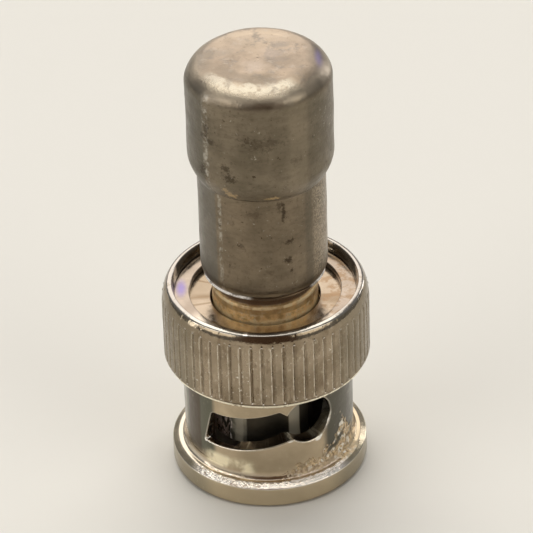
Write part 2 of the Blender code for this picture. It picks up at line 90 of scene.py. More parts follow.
def bumps(x, y, z):
    """Smooth noise at every point of three arrays or numbers."""
    x, y, z = np.broadcast_arrays(x, y, z)
    values = [noise.noise(Vector(p)) for p in zip(x.ravel(), y.ravel(), z.ravel())]
    return np.array(values).reshape(x.shape)


def across(r, a):
    """x and y of points at a radius and an angle in degrees from the front."""
    turn = np.radians(a)
    return r * np.sin(turn), -r * np.cos(turn)


def lathe(outline, columns, shape=None):
    """Vertices and faces of a turned outline of (radius, height); shape(r, z, a) may move them."""
    rows, n = len(outline), len(columns)
    r, z = (np.array([p[i] for p in outline])[:, None] * np.ones(n) for i in (0, 1))
    a = np.ones((rows, 1)) * np.asarray(columns, float)
    if shape:
        r, z = shape(r, z, a)
    pts = np.stack([*across(r, a), z], axis=-1).reshape(-1, 3)
    last = rows if outline[0][0] > 1e-6 else rows - 1
    faces = []
    for i in range(last):
        low, high = i * n, (i + 1) % rows * n
        faces += [[low + k, low + (k + 1) % n, high + (k + 1) % n, high + k] for k in range(n)]
    return pts, faces


def ripple(r, z, a, amount, size, seed):
    """Radii with the low waviness of a handled metal surface."""
    x, y = across(r, a)
    return r + bumps(x / size + seed, y / size, z / size) * amount - amount * 0.5


def round_corner(points, index, radius):
    """Replace one corner of an outline by a small curve."""
    p0, p1, p2 = (np.array(points[index + d], float) for d in (-1, 0, 1))
    d0, d2 = p0 - p1, p2 - p1
    k0 = min(radius, np.linalg.norm(d0) * 0.45)
    k2 = min(radius, np.linalg.norm(d2) * 0.45)
    a, b = p1 + d0 / np.linalg.norm(d0) * k0, p1 + d2 / np.linalg.norm(d2) * k2
    curve = [tuple((1 - t) ** 2 * a + 2 * t * (1 - t) * p1 + t * t * b) for t in np.linspace(0, 1, 5)]
    return points[:index] + curve + points[index + 1:]


def rounded(points, radii):
    """Round the numbered corners of an outline; radii maps a corner's index to its radius."""
    for index in sorted(radii, reverse=True):
        points = round_corner(points, index, radii[index])
    return points


def put(piece, body, nodes, material):
    piece.data.materials.clear()
    piece.data.materials.append(material)
    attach(piece, body)
    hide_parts(*nodes)
    return piece


# Material helpers

class Nodes:
    """Short calls for a node tree."""

    def __init__(self, tree):
        self.tree = tree

    def new(self, kind):
        return self.tree.nodes.new(kind)

    def join(self, a, b):
        self.tree.links.new(a, b)

    def feed(self, value, socket):
        """Link a socket, or set a number or a colour of three numbers."""
        if hasattr(value, "is_output"):
            self.join(value, socket)
        else:
            socket.default_value = (*value, 1.0) if isinstance(value, tuple) else value

    def op(self, kind, a, b=None, clamp=False):
        n = self.new("ShaderNodeMath")
        n.operation, n.use_clamp = kind, clamp
        self.feed(a, n.inputs[0])
        if b is not None:
            self.feed(b, n.inputs[1])
        return n.outputs[0]

    def times(self, *values):
        """The product of masks and numbers."""
        out = values[0]
        for value in values[1:]:
            out = self.op("MULTIPLY", out, value)
        return out

    def either(self, a, b):
        """The sum of two masks, 1 at most."""
        return self.op("ADD", a, b, clamp=True)

    def away(self, value, centre, size):
        """How far a value lies from a centre, in units of a size."""
        return self.op("DIVIDE", self.op("SUBTRACT", value, centre), size)

    def far(self, u, v):
        """Length of the two together: 1 on the rim of an oval."""
        return self.op("SQRT", self.op("ADD", self.times(u, u), self.times(v, v)))

    def step(self, value, low, high, a=0.0, b=1.0):
        """From a to b as the value goes from low to high."""
        n = self.new("ShaderNodeMapRange")
        n.interpolation_type = "SMOOTHSTEP"
        for key, v in (("Value", value), ("From Min", low), ("From Max", high), ("To Min", a), ("To Max", b)):
            self.feed(v, n.inputs[key])
        return n.outputs["Result"]

    def band(self, value, low, high, soft):
        """1 between low and high, falling to 0 over soft on both sides."""
        return self.times(self.step(value, low - soft, low), self.step(value, high, high + soft, 1.0, 0.0))

    def mix(self, fac, a, b, kind="RGBA", first=6):
        n = self.new("ShaderNodeMix")
        n.data_type = kind
        for value, index in ((fac, 0), (a, first), (b, first + 1)):
            self.feed(value, n.inputs[index])
        return n.outputs[0 if kind == "FLOAT" else 2]

    def mix_value(self, fac, a, b):
        return self.mix(fac, a, b, "FLOAT", 2)


class Graph(Nodes):
    """A material. Its places are in metres from the part's origin, its angle from the front in radians."""

    def __init__(self, name):
        self.mat = bpy.data.materials.new(name)
        self.mat.use_nodes = True
        super().__init__(self.mat.node_tree)
        self.shader = self.tree.nodes["Principled BSDF"]
        self.obj = self.new("ShaderNodeTexCoord").outputs["Object"]
        split = self.new("ShaderNodeSeparateXYZ")
        self.join(self.obj, split.inputs[0])
        self.x, self.y, self.z = split.outputs[:3]
        self.angle = self.op("ARCTAN2", self.x, self.times(self.y, -1.0))
        self.radius = self.far(self.x, self.y)

    def coat(self, fac, tone):
        """One more layer of colour over what is there."""
        self.color = self.mix(fac, self.color, tone)

    def noise(self, scale, detail=3.0, rough=0.55, vector=None, warp=0.0):
        n = self.new("ShaderNodeTexNoise")
        n.inputs["Scale"].default_value = scale
        n.inputs["Detail"].default_value = detail
        n.inputs["Roughness"].default_value = rough
        n.inputs["Distortion"].default_value = warp
        self.join(vector or self.obj, n.inputs["Vector"])
        return n.outputs["Fac"]

    def cracks(self, scale, vector):
        """Distance to the nearest border between cells."""
        n = self.new("ShaderNodeTexVoronoi")
        n.feature = "DISTANCE_TO_EDGE"
        n.inputs["Scale"].default_value = scale
        self.join(vector, n.inputs["Vector"])
        return n.outputs["Distance"]

    def vec(self, x, y, z):
        n = self.new("ShaderNodeCombineXYZ")
        for value, socket in zip((x, y, z), n.inputs):
            self.feed(value, socket)
        return n.outputs[0]

    def mark(self, name):
        n = self.new("ShaderNodeAttribute")
        n.attribute_name = name
        return n.outputs["Fac"]

    def brushed(self, amount):
        """Highlights of a turned surface stretch along its height."""
        n = self.new("ShaderNodeTangent")
        n.direction_type, n.axis = "RADIAL", "Z"
        self.join(n.outputs[0], self.shader.inputs["Tangent"])
        self.shader.inputs["Anisotropic"].default_value = amount
        self.shader.inputs["Anisotropic Rotation"].default_value = 0.25

    def sector(self, start, end, soft=3.0, fade=None):
        """1 between two angles from the front, in degrees; fade is a longer softness on the outer side."""
        turn = self.times(self.angle, DEGREES)
        first, last = (fade or soft, soft) if end < 0 else (soft, fade or soft)
        return self.times(self.step(turn, start - first, start), self.step(turn, end, end + last, 1.0, 0.0))

    def turned(self, around=0.004, up=1.0):
        """Coordinates in the unrolled surface: short across the height, long round the axis."""
        return self.vec(self.times(self.op("SINE", self.angle), around),
                        self.times(self.op("COSINE", self.angle), around), self.times(self.z, up))

    def bump(self, height, distance, normal=None):
        n = self.new("ShaderNodeBump")
        n.inputs["Strength"].default_value = 1.0
        n.inputs["Distance"].default_value = distance
        self.join(height, n.inputs["Height"])
        if normal:
            self.join(normal, n.inputs["Normal"])
        return n.outputs["Normal"]

    def spot(self, angle, z, wide, tall, radius, soft=0.5):
        """An oval mark at an angle in degrees and a height in mm, with a soft edge."""
        d = self.far(self.away(self.angle, math.radians(angle), wide / radius),
                     self.away(self.z, z * MM, tall * MM))
        return self.step(d, 1.0 - soft, 1.0 + soft, 1.0, 0.0)

    def finish(self, rough, normal, metallic=1.0):
        for value, name in ((self.color, "Base Color"), (rough, "Roughness"), (metallic, "Metallic"),
                            (normal, "Normal")):
            self.feed(value, self.shader.inputs[name])
        return self.mat


def plate(name, light, dark, rough):
    """Plated metal: cloudy colour, lathe marks round the axis, fine pits."""
    g = Graph(name)
    g.color = g.mix(g.step(g.noise(420.0, 4.0, 0.6), 0.35, 0.68), dark, light)
    marks = g.noise(9000.0, 2.0, 0.5, g.turned(0.0004))
    pits = g.noise(5200.0, 2.0, 0.6)
    normal = g.bump(g.noise(900.0, 2.0), 0.000018)
    normal = g.bump(g.op("ADD", g.times(marks, 0.5), g.times(pits, 0.5)), 0.000012, normal)
    return g.finish(g.step(g.noise(1500.0, 3.0), 0.3, 0.7, *rough), normal)


def plain(name, color, other, rough, scale=1200.0, bump=0.00001):
    """A quiet mottled finish for the non-metal pieces inside."""
    g = Graph(name)
    tone = g.noise(scale, 3.0, 0.55)
    g.color = g.mix(tone, color, other)
    normal = g.bump(g.noise(scale * 4.0, 2.0), bump)
    return g.finish(g.step(tone, 0.3, 0.7, rough - 0.06, rough + 0.06), normal, 0.0)


# Sizes (mm), as in the frame

FLANGE_R, FLANGE_H, BARREL_R, BORE_R = 6.93, 1.85, 5.97, 4.9
KNURL_R = 7.25
GROOVES, PITCH = 60, 6.0
SHOULDER_Z, SHOULDER_IN = 13.04, 11.05
CONTACT_TIP = 3.25
STEM_R, STEM_LOW = 4.43, 15.75
CAP_LOW, CAP_TOP, CAP_R = 24.10, 32.65, 5.03


# Knurled ring of the nut

def knurl_columns():
    offsets = [-3.0, -2.55, -2.0, -1.5, -1.22, -1.06, -0.86, -0.5, -0.18,
               0.0, 0.18, 0.5, 0.86, 1.06, 1.22, 1.5, 2.0, 2.55]
    return [PITCH * (g + 0.5) + o for g in range(GROOVES) for o in offsets]


def knurl_fields():
    """Depth, half width and ends of each groove, all slightly uneven."""
    spread = rng.uniform(-1, 1, (4, GROOVES))
    middle, swing = (0.092, 0.98, 9.20, 13.84), (0.018, 0.10, 0.03, 0.05)
    return [m + s * row for m, s, row in zip(middle, swing, spread)]


KNURL = knurl_fields()


def knurl_shape(r, z, a):
    depth, half, low, high = (f[(a // PITCH).astype(int) % GROOVES] for f in KNURL)
    off = (a % PITCH) - PITCH / 2
    v = 0.5 + 0.5 * np.cos(np.pi * np.clip(np.abs(off) / half, 0, 1))
    ramp = np.clip((z - low) / 0.12, 0, 1) * np.clip((high - z) / 0.13, 0, 1)
    outside = (r > 6.9) & (z > 8.95)
    lip = np.exp(-((np.abs(off) - half * 1.12) / 0.22) ** 2) * 0.012 * ramp
    burr = np.exp(-(((z - high - 0.03) / 0.05) ** 2 + (off / 0.7) ** 2)) * 0.045
    dent = bumps(np.radians(a) * KNURL_R * 3.1, z * 2.3, 4.0)
    edge = np.exp(-((np.abs(off) - half) / 0.3) ** 2)
    dent = np.clip(dent - 0.22, 0, None) * 0.06 * (0.35 + edge)
    return np.where(outside, r - depth * v * ramp - lip - dent - 0.008 + np.where(r < 7.2, burr, 0.0), r), z


def knurl_marks(r, z, a):
    """How deep in a groove a point is, and how near to the groove's edges and ends."""
    depth, half, low, high = (f[(a // PITCH).astype(int) % GROOVES] for f in KNURL)
    off = (a % PITCH) - PITCH / 2
    ramp = np.clip((z - low) / 0.15, 0, 1) * np.clip((high - z) / 0.16, 0, 1)
    outside = (r > 6.9) & (z > 8.95)
    groove = np.clip(1.0 - np.abs(off) / half, 0, None) * ramp * outside
    left = np.exp(-((off + half * 1.02) / 0.20) ** 2) * ramp * outside
    right = np.exp(-((off - half * 1.02) / 0.22) ** 2) * ramp * outside
    near_end = np.exp(-((z - high) / 0.09) ** 2) + np.exp(-((z - low) / 0.07) ** 2)
    ends = np.exp(-(off / 0.8) ** 2) * near_end * outside
    return {"groove": groove, "left": left, "right": right, "ends": ends}


def knurled_ring():
    outline = [(5.6, 8.66), (6.0, 8.66), (6.4, 8.66)]
    outline += arc(6.83, 8.90, 0.27, 0.24, -85, 30, 9)
    outline += [(7.10, 9.04), (7.12, 9.06), (7.215, 9.095), (KNURL_R, 9.14)]
    rows = list(np.linspace(9.16, 9.42, 7)) + list(np.linspace(9.6, 12.9, 13)) + [13.04]
    outline += [(KNURL_R, h) for h in rows]
    for turn in np.radians(np.linspace(0, 70, 23))[1:]:
        outline.append((6.59 + 0.66 * math.cos(turn) ** 0.85, SHOULDER_Z + 1.70 * math.sin(turn) ** 0.95))
    outline += [(6.83, 14.662), (6.79, 14.683), (6.74, 14.702), (6.69, 14.717), (6.64, 14.729),
                (6.60, 14.736)]
    outline += [(6.565, 14.737), (6.535, 14.73), (6.51, 14.705), (6.50, 14.65)]
    outline += [(6.45, 14.40), (6.36, 14.18), (6.33, 14.12), (6.32, 14.08), (6.32, 14.01)]
    outline += [(6.47, 14.01), (6.47, 13.49), (6.10, 13.49), (6.10, SHOULDER_IN), (5.6, SHOULDER_IN)]
    columns = np.array(knurl_columns())
    r, z = (np.array([p[i] for p in outline])[:, None] * np.ones(len(columns)) for i in (0, 1))
    marks = knurl_marks(r, z, np.ones(r.shape) * columns)
    return add_object("knurled_ring", *lathe(outline, columns, knurl_shape), smooth_angle=50.0, marks=marks)


# Slotted barrel of the nut

SLOT_START, SLOT_LAST, THROAT, TOOTH = -49.5, 20.63, 13.3, 7.0
DETENT_A, DETENT_Z, DETENT_R = 28.4, 6.31, 1.81
STUD_A, STUD_HALF, STUD_R = -38.0, 1.15, 5.6
ROUND = 0.075


def slot_low(a):
    s = (a - SLOT_START) / (THROAT - SLOT_START)
    return 3.92 + 1.03 * min(max(s, 0.0), 1.0) ** 2.2


def slot_high(a):
    s = (a - TOOTH) / (THROAT - TOOTH)
    return slot_low(a) + 2.72 - 0.70 * min(max(s, 0.0), 1.0)


def in_detent(a, z):
    x = BARREL_R * math.sin(math.radians(a - DETENT_A))
    return x * x + (z - DETENT_Z) ** 2 < DETENT_R ** 2


def slot_outline(step=0.06):
    """The slot and its round end as one closed loop of (angle, height, kind)."""
    per = math.degrees(step / BARREL_R)
    low = []
    a = SLOT_START
    while not in_detent(a, slot_low(a)):
        low.append((a, slot_low(a)))
        a += per
    high = []
    n = 400
    for k in range(n + 1):
        share = k / n
        ang = SLOT_START + (SLOT_LAST - SLOT_START) * share
        sk = ang + 7.0 * (1.0 - share)
        if in_detent(sk, slot_high(sk)):
            break
        high.append((sk, slot_high(sk)))
    high = high[::3] + [high[-1]]
    ends = []
    for p in (low[-1], high[-1]):
        x = BARREL_R * math.sin(math.radians(p[0] - DETENT_A))
        ends.append(math.degrees(math.atan2(p[1] - DETENT_Z, x)))
    start, end = ends[0], ends[1]
    sweep = (end - start) % 360.0
    count = int(math.radians(sweep) * DETENT_R / step)
    ring = []
    for k in range(1, count):
        t = math.radians(start + sweep * k / count)
        x = DETENT_R * math.cos(t)
        ring.append((DETENT_A + math.degrees(math.asin(x / BARREL_R)), DETENT_Z + DETENT_R * math.sin(t)))
    first, last = high[0], low[0]
    n = int(2.8 / step)
    front = [(first[0] + (last[0] - first[0]) * k / n,
              first[1] + (last[1] - first[1]) * k / n) for k in range(1, n)]
    runs = ((low, 0), (ring, 1), (high[::-1], 0), (front, 0))
    pts = np.array([p for points, _ in runs for p in points])
    kind = np.array([k for points, k in runs for _ in points])
    # ease the two corners at the entry end
    flat = pts * np.array([math.radians(1) * BARREL_R, 1.0])
    corner = flat[len(low) + len(ring) + len(high) - 1]
    near = np.minimum(np.linalg.norm(flat - flat[0], axis=1), np.linalg.norm(flat - corner, axis=1))
    for _ in range(14):
        avg = (np.roll(pts, 1, 0) + np.roll(pts, -1, 0)) / 2
        w = np.clip(1 - near / 0.5, 0, 1)[:, None]
        pts = pts * (1 - w) + avg * w
    return pts, kind


def inside(points, poly):
    x, y = points[:, 0][:, None], points[:, 1][:, None]
    x0, y0 = poly[:, 0][None, :], poly[:, 1][None, :]
    x1, y1 = np.roll(poly[:, 0], -1)[None, :], np.roll(poly[:, 1], -1)[None, :]
    cross = ((y0 > y) != (y1 > y)) & (x < (x1 - x0) * (y - y0) / (y1 - y0 + 1e-12) + x0)
    return (cross.sum(axis=1) % 2).astype(bool)


def distance(points, poly):
    a, b = poly, np.roll(poly, -1, 0)
    ab = b - a
    out = np.full(len(points), 1e9)
    for s in range(0, len(points), 2000):
        p = points[s:s + 2000][:, None, :]
        t = np.clip(((p - a) * ab).sum(-1) / ((ab * ab).sum(-1) + 1e-12), 0, 1)
        d = np.linalg.norm(p - (a + t[..., None] * ab), axis=-1).min(axis=1)
        out[s:s + 2000] = d
    return out


def bore_radius(a, z):
    """The nut's bore, with the two stud channels and the chamfer at the mouth."""
    base = BORE_R + max(0.0, 0.3 - z)
    off = abs(((a - STUD_A + 90.0) % 180.0) - 90.0)
    top = slot_low(STUD_A) + 2.42
    if z > top or off > 13.58:
        return base
    outer = math.degrees(math.asin(STUD_HALF / STUD_R))
    if off <= outer:
        return STUD_R * math.cos(math.radians(outer)) / math.cos(math.radians(off))
    return max(base, STUD_HALF / math.sin(math.radians(off)))


def sheet(loops, grid):
    """Triangles of a flat sheet with holes. Coordinates are (u, z) in mm; hole points keep their order."""
    pts, edges, marks = [], [], []
    for loop in loops:
        base = len(pts)
        pts += [Vector(p) for p in loop]
        edges += [(base + k, base + (k + 1) % len(loop)) for k in range(len(loop))]
        marks.append((base, len(loop)))
    pts += [Vector(p) for p in grid]
    out = delaunay_2d_cdt(pts, edges, [], 0, 1e-6)
    verts, faces, origin = out[0], out[2], out[3]
    where = {}
    for new, olds in enumerate(origin):
        for old in olds:
            where[old] = new
    flat = np.array([(v[0], v[1]) for v in verts])
    centers = np.array([flat[list(f)].mean(axis=0) for f in faces])
    keep = np.ones(len(faces), bool)
    for loop in loops:
        keep &= ~inside(centers, np.asarray(loop))
    faces = [list(f) for f, k in zip(faces, keep) if k]
    rings = [[where[base + k] for k in range(count)] for base, count in marks]
    return flat, faces, rings


def crust(a, z):
    """Where the dried deposit lies at the foot of the barrel: 0 to 1, ragged at its edges."""
    a = (np.asarray(a, float) + 180.0) % 360.0 - 180.0
    z = np.asarray(z, float)
    top = 2.35 + np.clip((a - 8.0) / 55.0, 0, 1) * 1.45 + 0.9 * np.exp(-((a - 58.0) / 9.0) ** 2)
    ragged = bumps(a * 0.16, z * 1.9, 2.7) + 0.6 * bumps(a * 0.5, z * 5.0, 6.1)
    side = np.clip((a - 4.0) / 10.0, 0, 1) * np.clip((78.0 - a) / 10.0, 0, 1)
    return side * np.clip((top - z + ragged * 0.9) / 0.5, 0, 1) * np.clip((z - 1.80) / 0.05, 0, 1)


def lumps(a, z):
    """Grainy relief of the deposit, in mm."""
    x = np.radians(a) * BARREL_R
    coarse = np.maximum(0.0, bumps(x * 2.6, z * 2.6, 9.0) + 0.12)
    return 0.07 * coarse + 0.05 * np.abs(bumps(x * 7.5, z * 7.5, 5.0))


def barrel():
    k = math.radians(1) * BARREL_R
    one, kind = slot_outline()
    loops_a = [one + np.array([t, 0.0]) for t in (0.0, 180.0)]
    loops = [l * np.array([k, 1.0]) for l in loops_a]
    left, right, z0, z1 = -110.0, 250.0, 3.00, 8.95
    foot = np.concatenate([np.arange(left, 2.0, 1.0), np.arange(2.0, 82.0, 0.5),
                           np.arange(82.0, right + 0.5, 1.0)])
    # points of the outer sheet
    grid = [(a * k, z) for z in (z0, z1) for a in foot]
    grid += [(a * k, z) for z in np.arange(z0, z1, 0.19)[1:] for a in (left, right)]
    inner = np.array([(a * k, z) for z in np.arange(z0, z1, 0.19)[1:] for a in np.arange(left + 1.9,
                                                                                         right - 1.0, 1.9)])
    inner = inner + rng.uniform(-0.03, 0.03, inner.shape)
    crusty = np.array([(a * k, z) for z in np.arange(z0 + 0.06, 4.9, 0.06) for a in np.arange(3.0, 80.0,
                                                                                              0.55)])
    crusty = crusty + rng.uniform(-0.01, 0.01, crusty.shape)
    inner = inner[~((inner[:, 1] < 4.9) & (inner[:, 0] > 3.0 * k) & (inner[:, 0] < 80.0 * k))]
    inner = np.concatenate([inner, crusty])
    d = np.min([distance(inner, l) for l in loops], axis=0)
    hit = np.any([inside(inner, l) for l in loops], axis=0)
    grid += [tuple(p) for p in inner[(~hit) & (d > 0.17)]]
    for loop in loops:
        tangent = np.roll(loop, -1, 0) - np.roll(loop, 1, 0)
        normal = np.stack([tangent[:, 1], -tangent[:, 0]], axis=1)
        normal /= np.linalg.norm(normal, axis=1)[:, None]
        for off in (0.014, 0.032, 0.055, ROUND, 0.13):
            for sign in (1, -1):
                cand = loop + normal * off * sign
                ok = ~inside(cand, loop) & (distance(cand, loop) > off * 0.93)
                grid += [tuple(p) for p in cand[ok]]
    flat, faces, rings = sheet(loops, grid)
    depth = np.min([distance(flat, l) for l in loops], axis=0)
    fall = np.where(depth < ROUND, ROUND - np.sqrt(np.clip(ROUND ** 2 - (ROUND - depth) ** 2, 0, None)), 0.0)
    ang = flat[:, 0] / BARREL_R
    mid = np.array([slot_low(((math.degrees(a) + 90.0) % 180.0) - 90.0) + 1.2 for a in ang])
    # Edge mark of the slots, for worn edges with a painted highlight; the lower edges get more.
    lower = np.where(flat[:, 1] < mid, 1.0, 0.65)
    wav = bumps(ang * 4.0, flat[:, 1] * 0.7, 1.5) * 0.012 * np.clip(flat[:, 1] - z0, 0, 1)
    cover = crust(np.degrees(ang), flat[:, 1]) * np.clip((flat[:, 1] - z0) / 0.05, 0,
                                                         1) * np.clip(depth / 0.1, 0, 1)
    r = BARREL_R - fall + wav + cover * lumps(np.degrees(ang), flat[:, 1])
    verts = [(rr * math.sin(a), -rr * math.cos(a), z) for rr, a, z in zip(r, ang, flat[:, 1])]
    edge = list(np.clip(1.0 - depth / 0.10, 0, 1) * lower)
    wall = [0.0] * len(verts)
    dirt = list(crust(np.degrees(ang), flat[:, 1]))
    all_faces = list(faces)
    # inner sheet
    kb = math.radians(1) * BORE_R
    loops_b = []
    for l in loops_a:
        turned_loop = l.copy()
        centre = DETENT_A + (0.0 if l[:, 0].mean() < 90 else 180.0)
        x = BARREL_R * np.sin(np.radians(np.clip(l[:, 0] - centre, -60, 60)))
        straight = centre + np.degrees(np.arcsin(np.clip(x / BORE_R, -1, 1)))
        index = np.where(kind == 1)[0]
        reach = np.arange(len(l))
        gap = np.minimum(np.abs(reach[:, None] - index[None, :]).min(axis=1), 40) / 40.0
        turned_loop[:, 0] = l[:, 0] * gap + straight * (1 - gap)
        loops_b.append(turned_loop * np.array([kb, 1.0]))
    edge_in, edge_out = 11.85, 13.57
    cols = sorted(set(list(np.arange(left, right + 1, 3.0)) +
                      [STUD_A + s * e + t for s in (-1, 1) for e in (edge_in, edge_out) for t in (0.0,
                                                                                                  180.0)]))
    top = slot_low(STUD_A) + 2.42
    rows = [0.0, 0.3] + list(np.arange(0.8, 11.0, 0.5)) + [top, top + 0.02, SHOULDER_IN]
    cand = np.array([(c * kb, z) for c in cols for z in rows])
    d = np.min([distance(cand, l) for l in loops_b], axis=0)
    hit = np.any([inside(cand, l) for l in loops_b], axis=0)
    flat2, faces2, rings2 = sheet(loops_b, [tuple(p) for p in cand[(~hit) & (d > 0.05)]])
    ang2 = np.degrees(flat2[:, 0] / BORE_R)
    base = len(verts)
    for a, z in zip(ang2, flat2[:, 1]):
        rr = bore_radius(a, z)
        verts.append((rr * math.sin(math.radians(a)), -rr * math.cos(math.radians(a)), z))
    wall += [1.0] * len(flat2)
    edge += [0.0] * len(flat2)
    dirt += [0.0] * len(flat2)
    all_faces += [[i + base for i in f[::-1]] for f in faces2]
    # walls of the slots
    for ring_a, ring_b in zip(rings, rings2):
        ring_b = [i + base for i in ring_b]
        last = ring_a
        for share in (0.12, 0.35, 0.9, 1.0):
            if share < 1.0:
                now = []
                for ia, ib in zip(ring_a, ring_b):
                    p = np.array(verts[ia]) * (1 - share) + np.array(verts[ib]) * share
                    now.append(len(verts))
                    verts.append(tuple(p))
                wall += [min(1.0, share * 4)] * len(now)
                edge += [0.0] * len(now)
                dirt += [0.0] * len(now)
            else:
                now = ring_b
            n = len(now)
            all_faces += [[last[i], last[(i + 1) % n], now[(i + 1) % n], now[i]] for i in range(n)]
            last = now
    # foot and flange below, turned on the same columns
    outline = [(BARREL_R, z0)]
    outline += arc(BARREL_R + 0.28, FLANGE_H + 0.90, 0.28, 0.90, 180, 268, 24)[1:]
    outline += dense([(6.26, FLANGE_H), (6.30, FLANGE_H - 0.003), (6.45, FLANGE_H - 0.015)], 0.06)
    outline += dense([(6.49, FLANGE_H - 0.03), (6.86, FLANGE_H - 0.250)], 0.06)
    outline += [(6.90, FLANGE_H - 0.285), (6.92, FLANGE_H - 0.325)]
    outline += dense([(FLANGE_R, FLANGE_H - 0.37), (FLANGE_R, 0.36)], 0.14)
    outline += arc(FLANGE_R - 0.35, 0.35, 0.35, 0.35, 0, -90, 8)[1:]
    outline += [(6.2, 0.0), (5.75, 0.0)]
    columns = foot[:-1]

    def flange_shape(r, z, a):
        x, y = across(5.0, a)
        move = bumps(x, -y, z * 1.1) * 0.014 - 0.008
        move[0] = 0.0
        cover = crust(a, z) * np.clip((z0 - z) / 0.05, 0, 1)
        raised = cover * lumps(a, z + (r - 6.0))
        steep = np.clip((r - 6.1) / 0.25, 0, 1)
        rr = np.where(r > 5.99, r + move, r) + raised * (1 - steep)
        zz = z + raised * steep * 0.7 * np.clip((6.85 - r) / 0.1, 0, 1)
        return np.minimum(rr, 6.93), zz

    pts, ff = lathe(outline, columns, flange_shape)
    n = len(columns)
    ff = ff[:(len(outline) - 1) * n]
    base3 = len(verts)
    verts += [tuple(p) for p in pts]
    all_faces += [[i + base3 for i in f] for f in ff]
    rz = np.array(outline)
    grid_a = np.ones((len(outline), 1)) * columns[None, :]
    grid_z = rz[:, 1][:, None] * np.ones((1, n))
    dirt += list((crust(grid_a, np.maximum(grid_z, 1.86)) * (grid_z > 1.75)).ravel())
    # The flange's outer edge joins the edge mark: a painted highlight line.
    rim = np.exp(-((rz[:, 0] - 6.90) ** 2 + (rz[:, 1] - 1.56) ** 2) / 0.04 ** 2) * 0.6
    edge += list((rim[:, None] * np.ones((1, n))).ravel())
    wall += [0.0] * len(pts)
    # mouth face, from the bore's own edge out to the flange's round
    outer = [base3 + (len(outline) - 1) * n + c for c in range(n)]
    low = [i for i in range(len(flat2)) if verts[base + i][2] < 1e-6 and flat2[i][0] < (right - 0.01) * kb]
    low = [base + i for i in sorted(low, key=lambda i: flat2[i][0])]
    ring_in = []
    for i in low:
        ring_in.append(len(verts))
        verts.append(verts[i])
        for values in (wall, edge, dirt):
            values.append(0.0)
    both = outer + ring_in
    flat3 = [Vector(verts[i][:2]) for i in both]
    loops3 = [(k, (k + 1) % len(outer)) for k in range(len(outer))]
    loops3 += [(len(outer) + k, len(outer) + (k + 1) % len(ring_in)) for k in range(len(ring_in))]
    made = delaunay_2d_cdt(flat3, loops3, [], 0, 1e-6)
    source = [olds[0] for olds in made[3]]
    spots = np.array([tuple(v) for v in made[0]])
    hole = np.array([tuple(flat3[k]) for k in range(len(outer), len(both))])
    border = np.array([tuple(flat3[k]) for k in range(len(outer))])
    middle = np.array([spots[list(f)].mean(axis=0) for f in made[2]])
    keep = inside(middle, border) & ~inside(middle, hole)
    all_faces += [[both[source[v]] for v in f] for f, k2 in zip(made[2], keep) if k2]
    marks = {"edge": edge, "wall": wall, "dirt": dirt}
    return add_object("slotted_barrel", verts, all_faces, smooth_angle=42.0, marks=marks)


# Turned pieces

def swage(z):
    s = min(max((z - CAP_LOW) / 1.5, 0.0), 1.0)
    return 4.52 + (CAP_R - 4.52) * math.sin(s * math.pi / 2)


def end_cap():
    outer = [(4.46, CAP_LOW + 0.03), (4.50, CAP_LOW + 0.005), (4.525, CAP_LOW + 0.02)]
    outer += [(swage(CAP_LOW + h), CAP_LOW + h) for h in np.linspace(0.05, 1.5, 22)]
    outer += [(CAP_R, h) for h in np.linspace(25.8, 31.30, 24)]
    outer += arc(CAP_R - 2.0, CAP_TOP - 1.32, 2.0, 1.32, 0, 90, 34)[1:]
    outer += [(r, CAP_TOP) for r in np.linspace(2.9, 0.25, 14)]
    inner = [(0.0, 32.15), (3.2, 32.15), (4.2, 31.8), (4.58, 31.2), (4.58, 25.6), (4.1, 24.3)]
    outline = [(0.0, CAP_TOP)] + outer[::-1] + inner[::-1]

    def shape(r, z, a):
        x, y = across(r, a)
        up = np.clip((z - 30.9) / 0.8, 0, 1) * np.clip(r / 2.0, 0, 1)
        bulge = np.clip((r - 3.2) / 0.7, 0, 1) * np.clip((4.97 - r) / 0.35, 0, 1)
        lift = 0.17 * bulge * np.maximum(0.0, -np.cos(np.radians(a)))
        lean = 0.016 * np.maximum(0.0, 3.0 - x)
        dents = 0.03 * np.abs(bumps(x * 0.45, y * 0.45, 3.0)) * up + 0.015 * bumps(x * 0.27, y * 0.27, 1.8)
        top = (z > 31.0) & (r > 0.0) & ((z > 32.2) | (r > 4.3))
        outside = (r > 4.45) | (z > 31.9)
        rr = np.where(outside, ripple(r, z, a, 0.035, 2.3, 11.0), r)
        return rr, np.minimum(np.where(top, z + lift - lean - dents, z), CAP_TOP)
    return add_object("cap", *lathe(outline, np.arange(0, 360, 1.5), shape))


def stem():
    outline = [(3.40, STEM_LOW + 0.02), (3.86, STEM_LOW), (4.02, STEM_LOW + 0.002)]
    outline += arc(4.125, STEM_LOW + 0.105, 0.125, 0.10, -75, 62, 9)
    outline += [(4.185, 15.965), (4.20, 16.01), (4.255, 16.10), (4.315, 16.21), (4.365, 16.34),
                (4.40, 16.49), (4.42, 16.66)]
    outline += [(STEM_R, h) for h in np.linspace(16.9, 23.9, 26)]
    outline += [(STEM_R + 0.015, 24.0), (STEM_R + 0.05, 24.07), (3.98, 24.09), (3.98, 25.1), (4.48, 26.0),
                (4.48, 31.2), (3.40, 31.2)]

    def shape(r, z, a):
        return np.where((r > 3.9) & (z < 24.1), ripple(r, z, a, 0.02, 1.9, 3.0), r), z
    return add_object("stem", *lathe(outline, np.arange(0, 360, 1.5), shape))


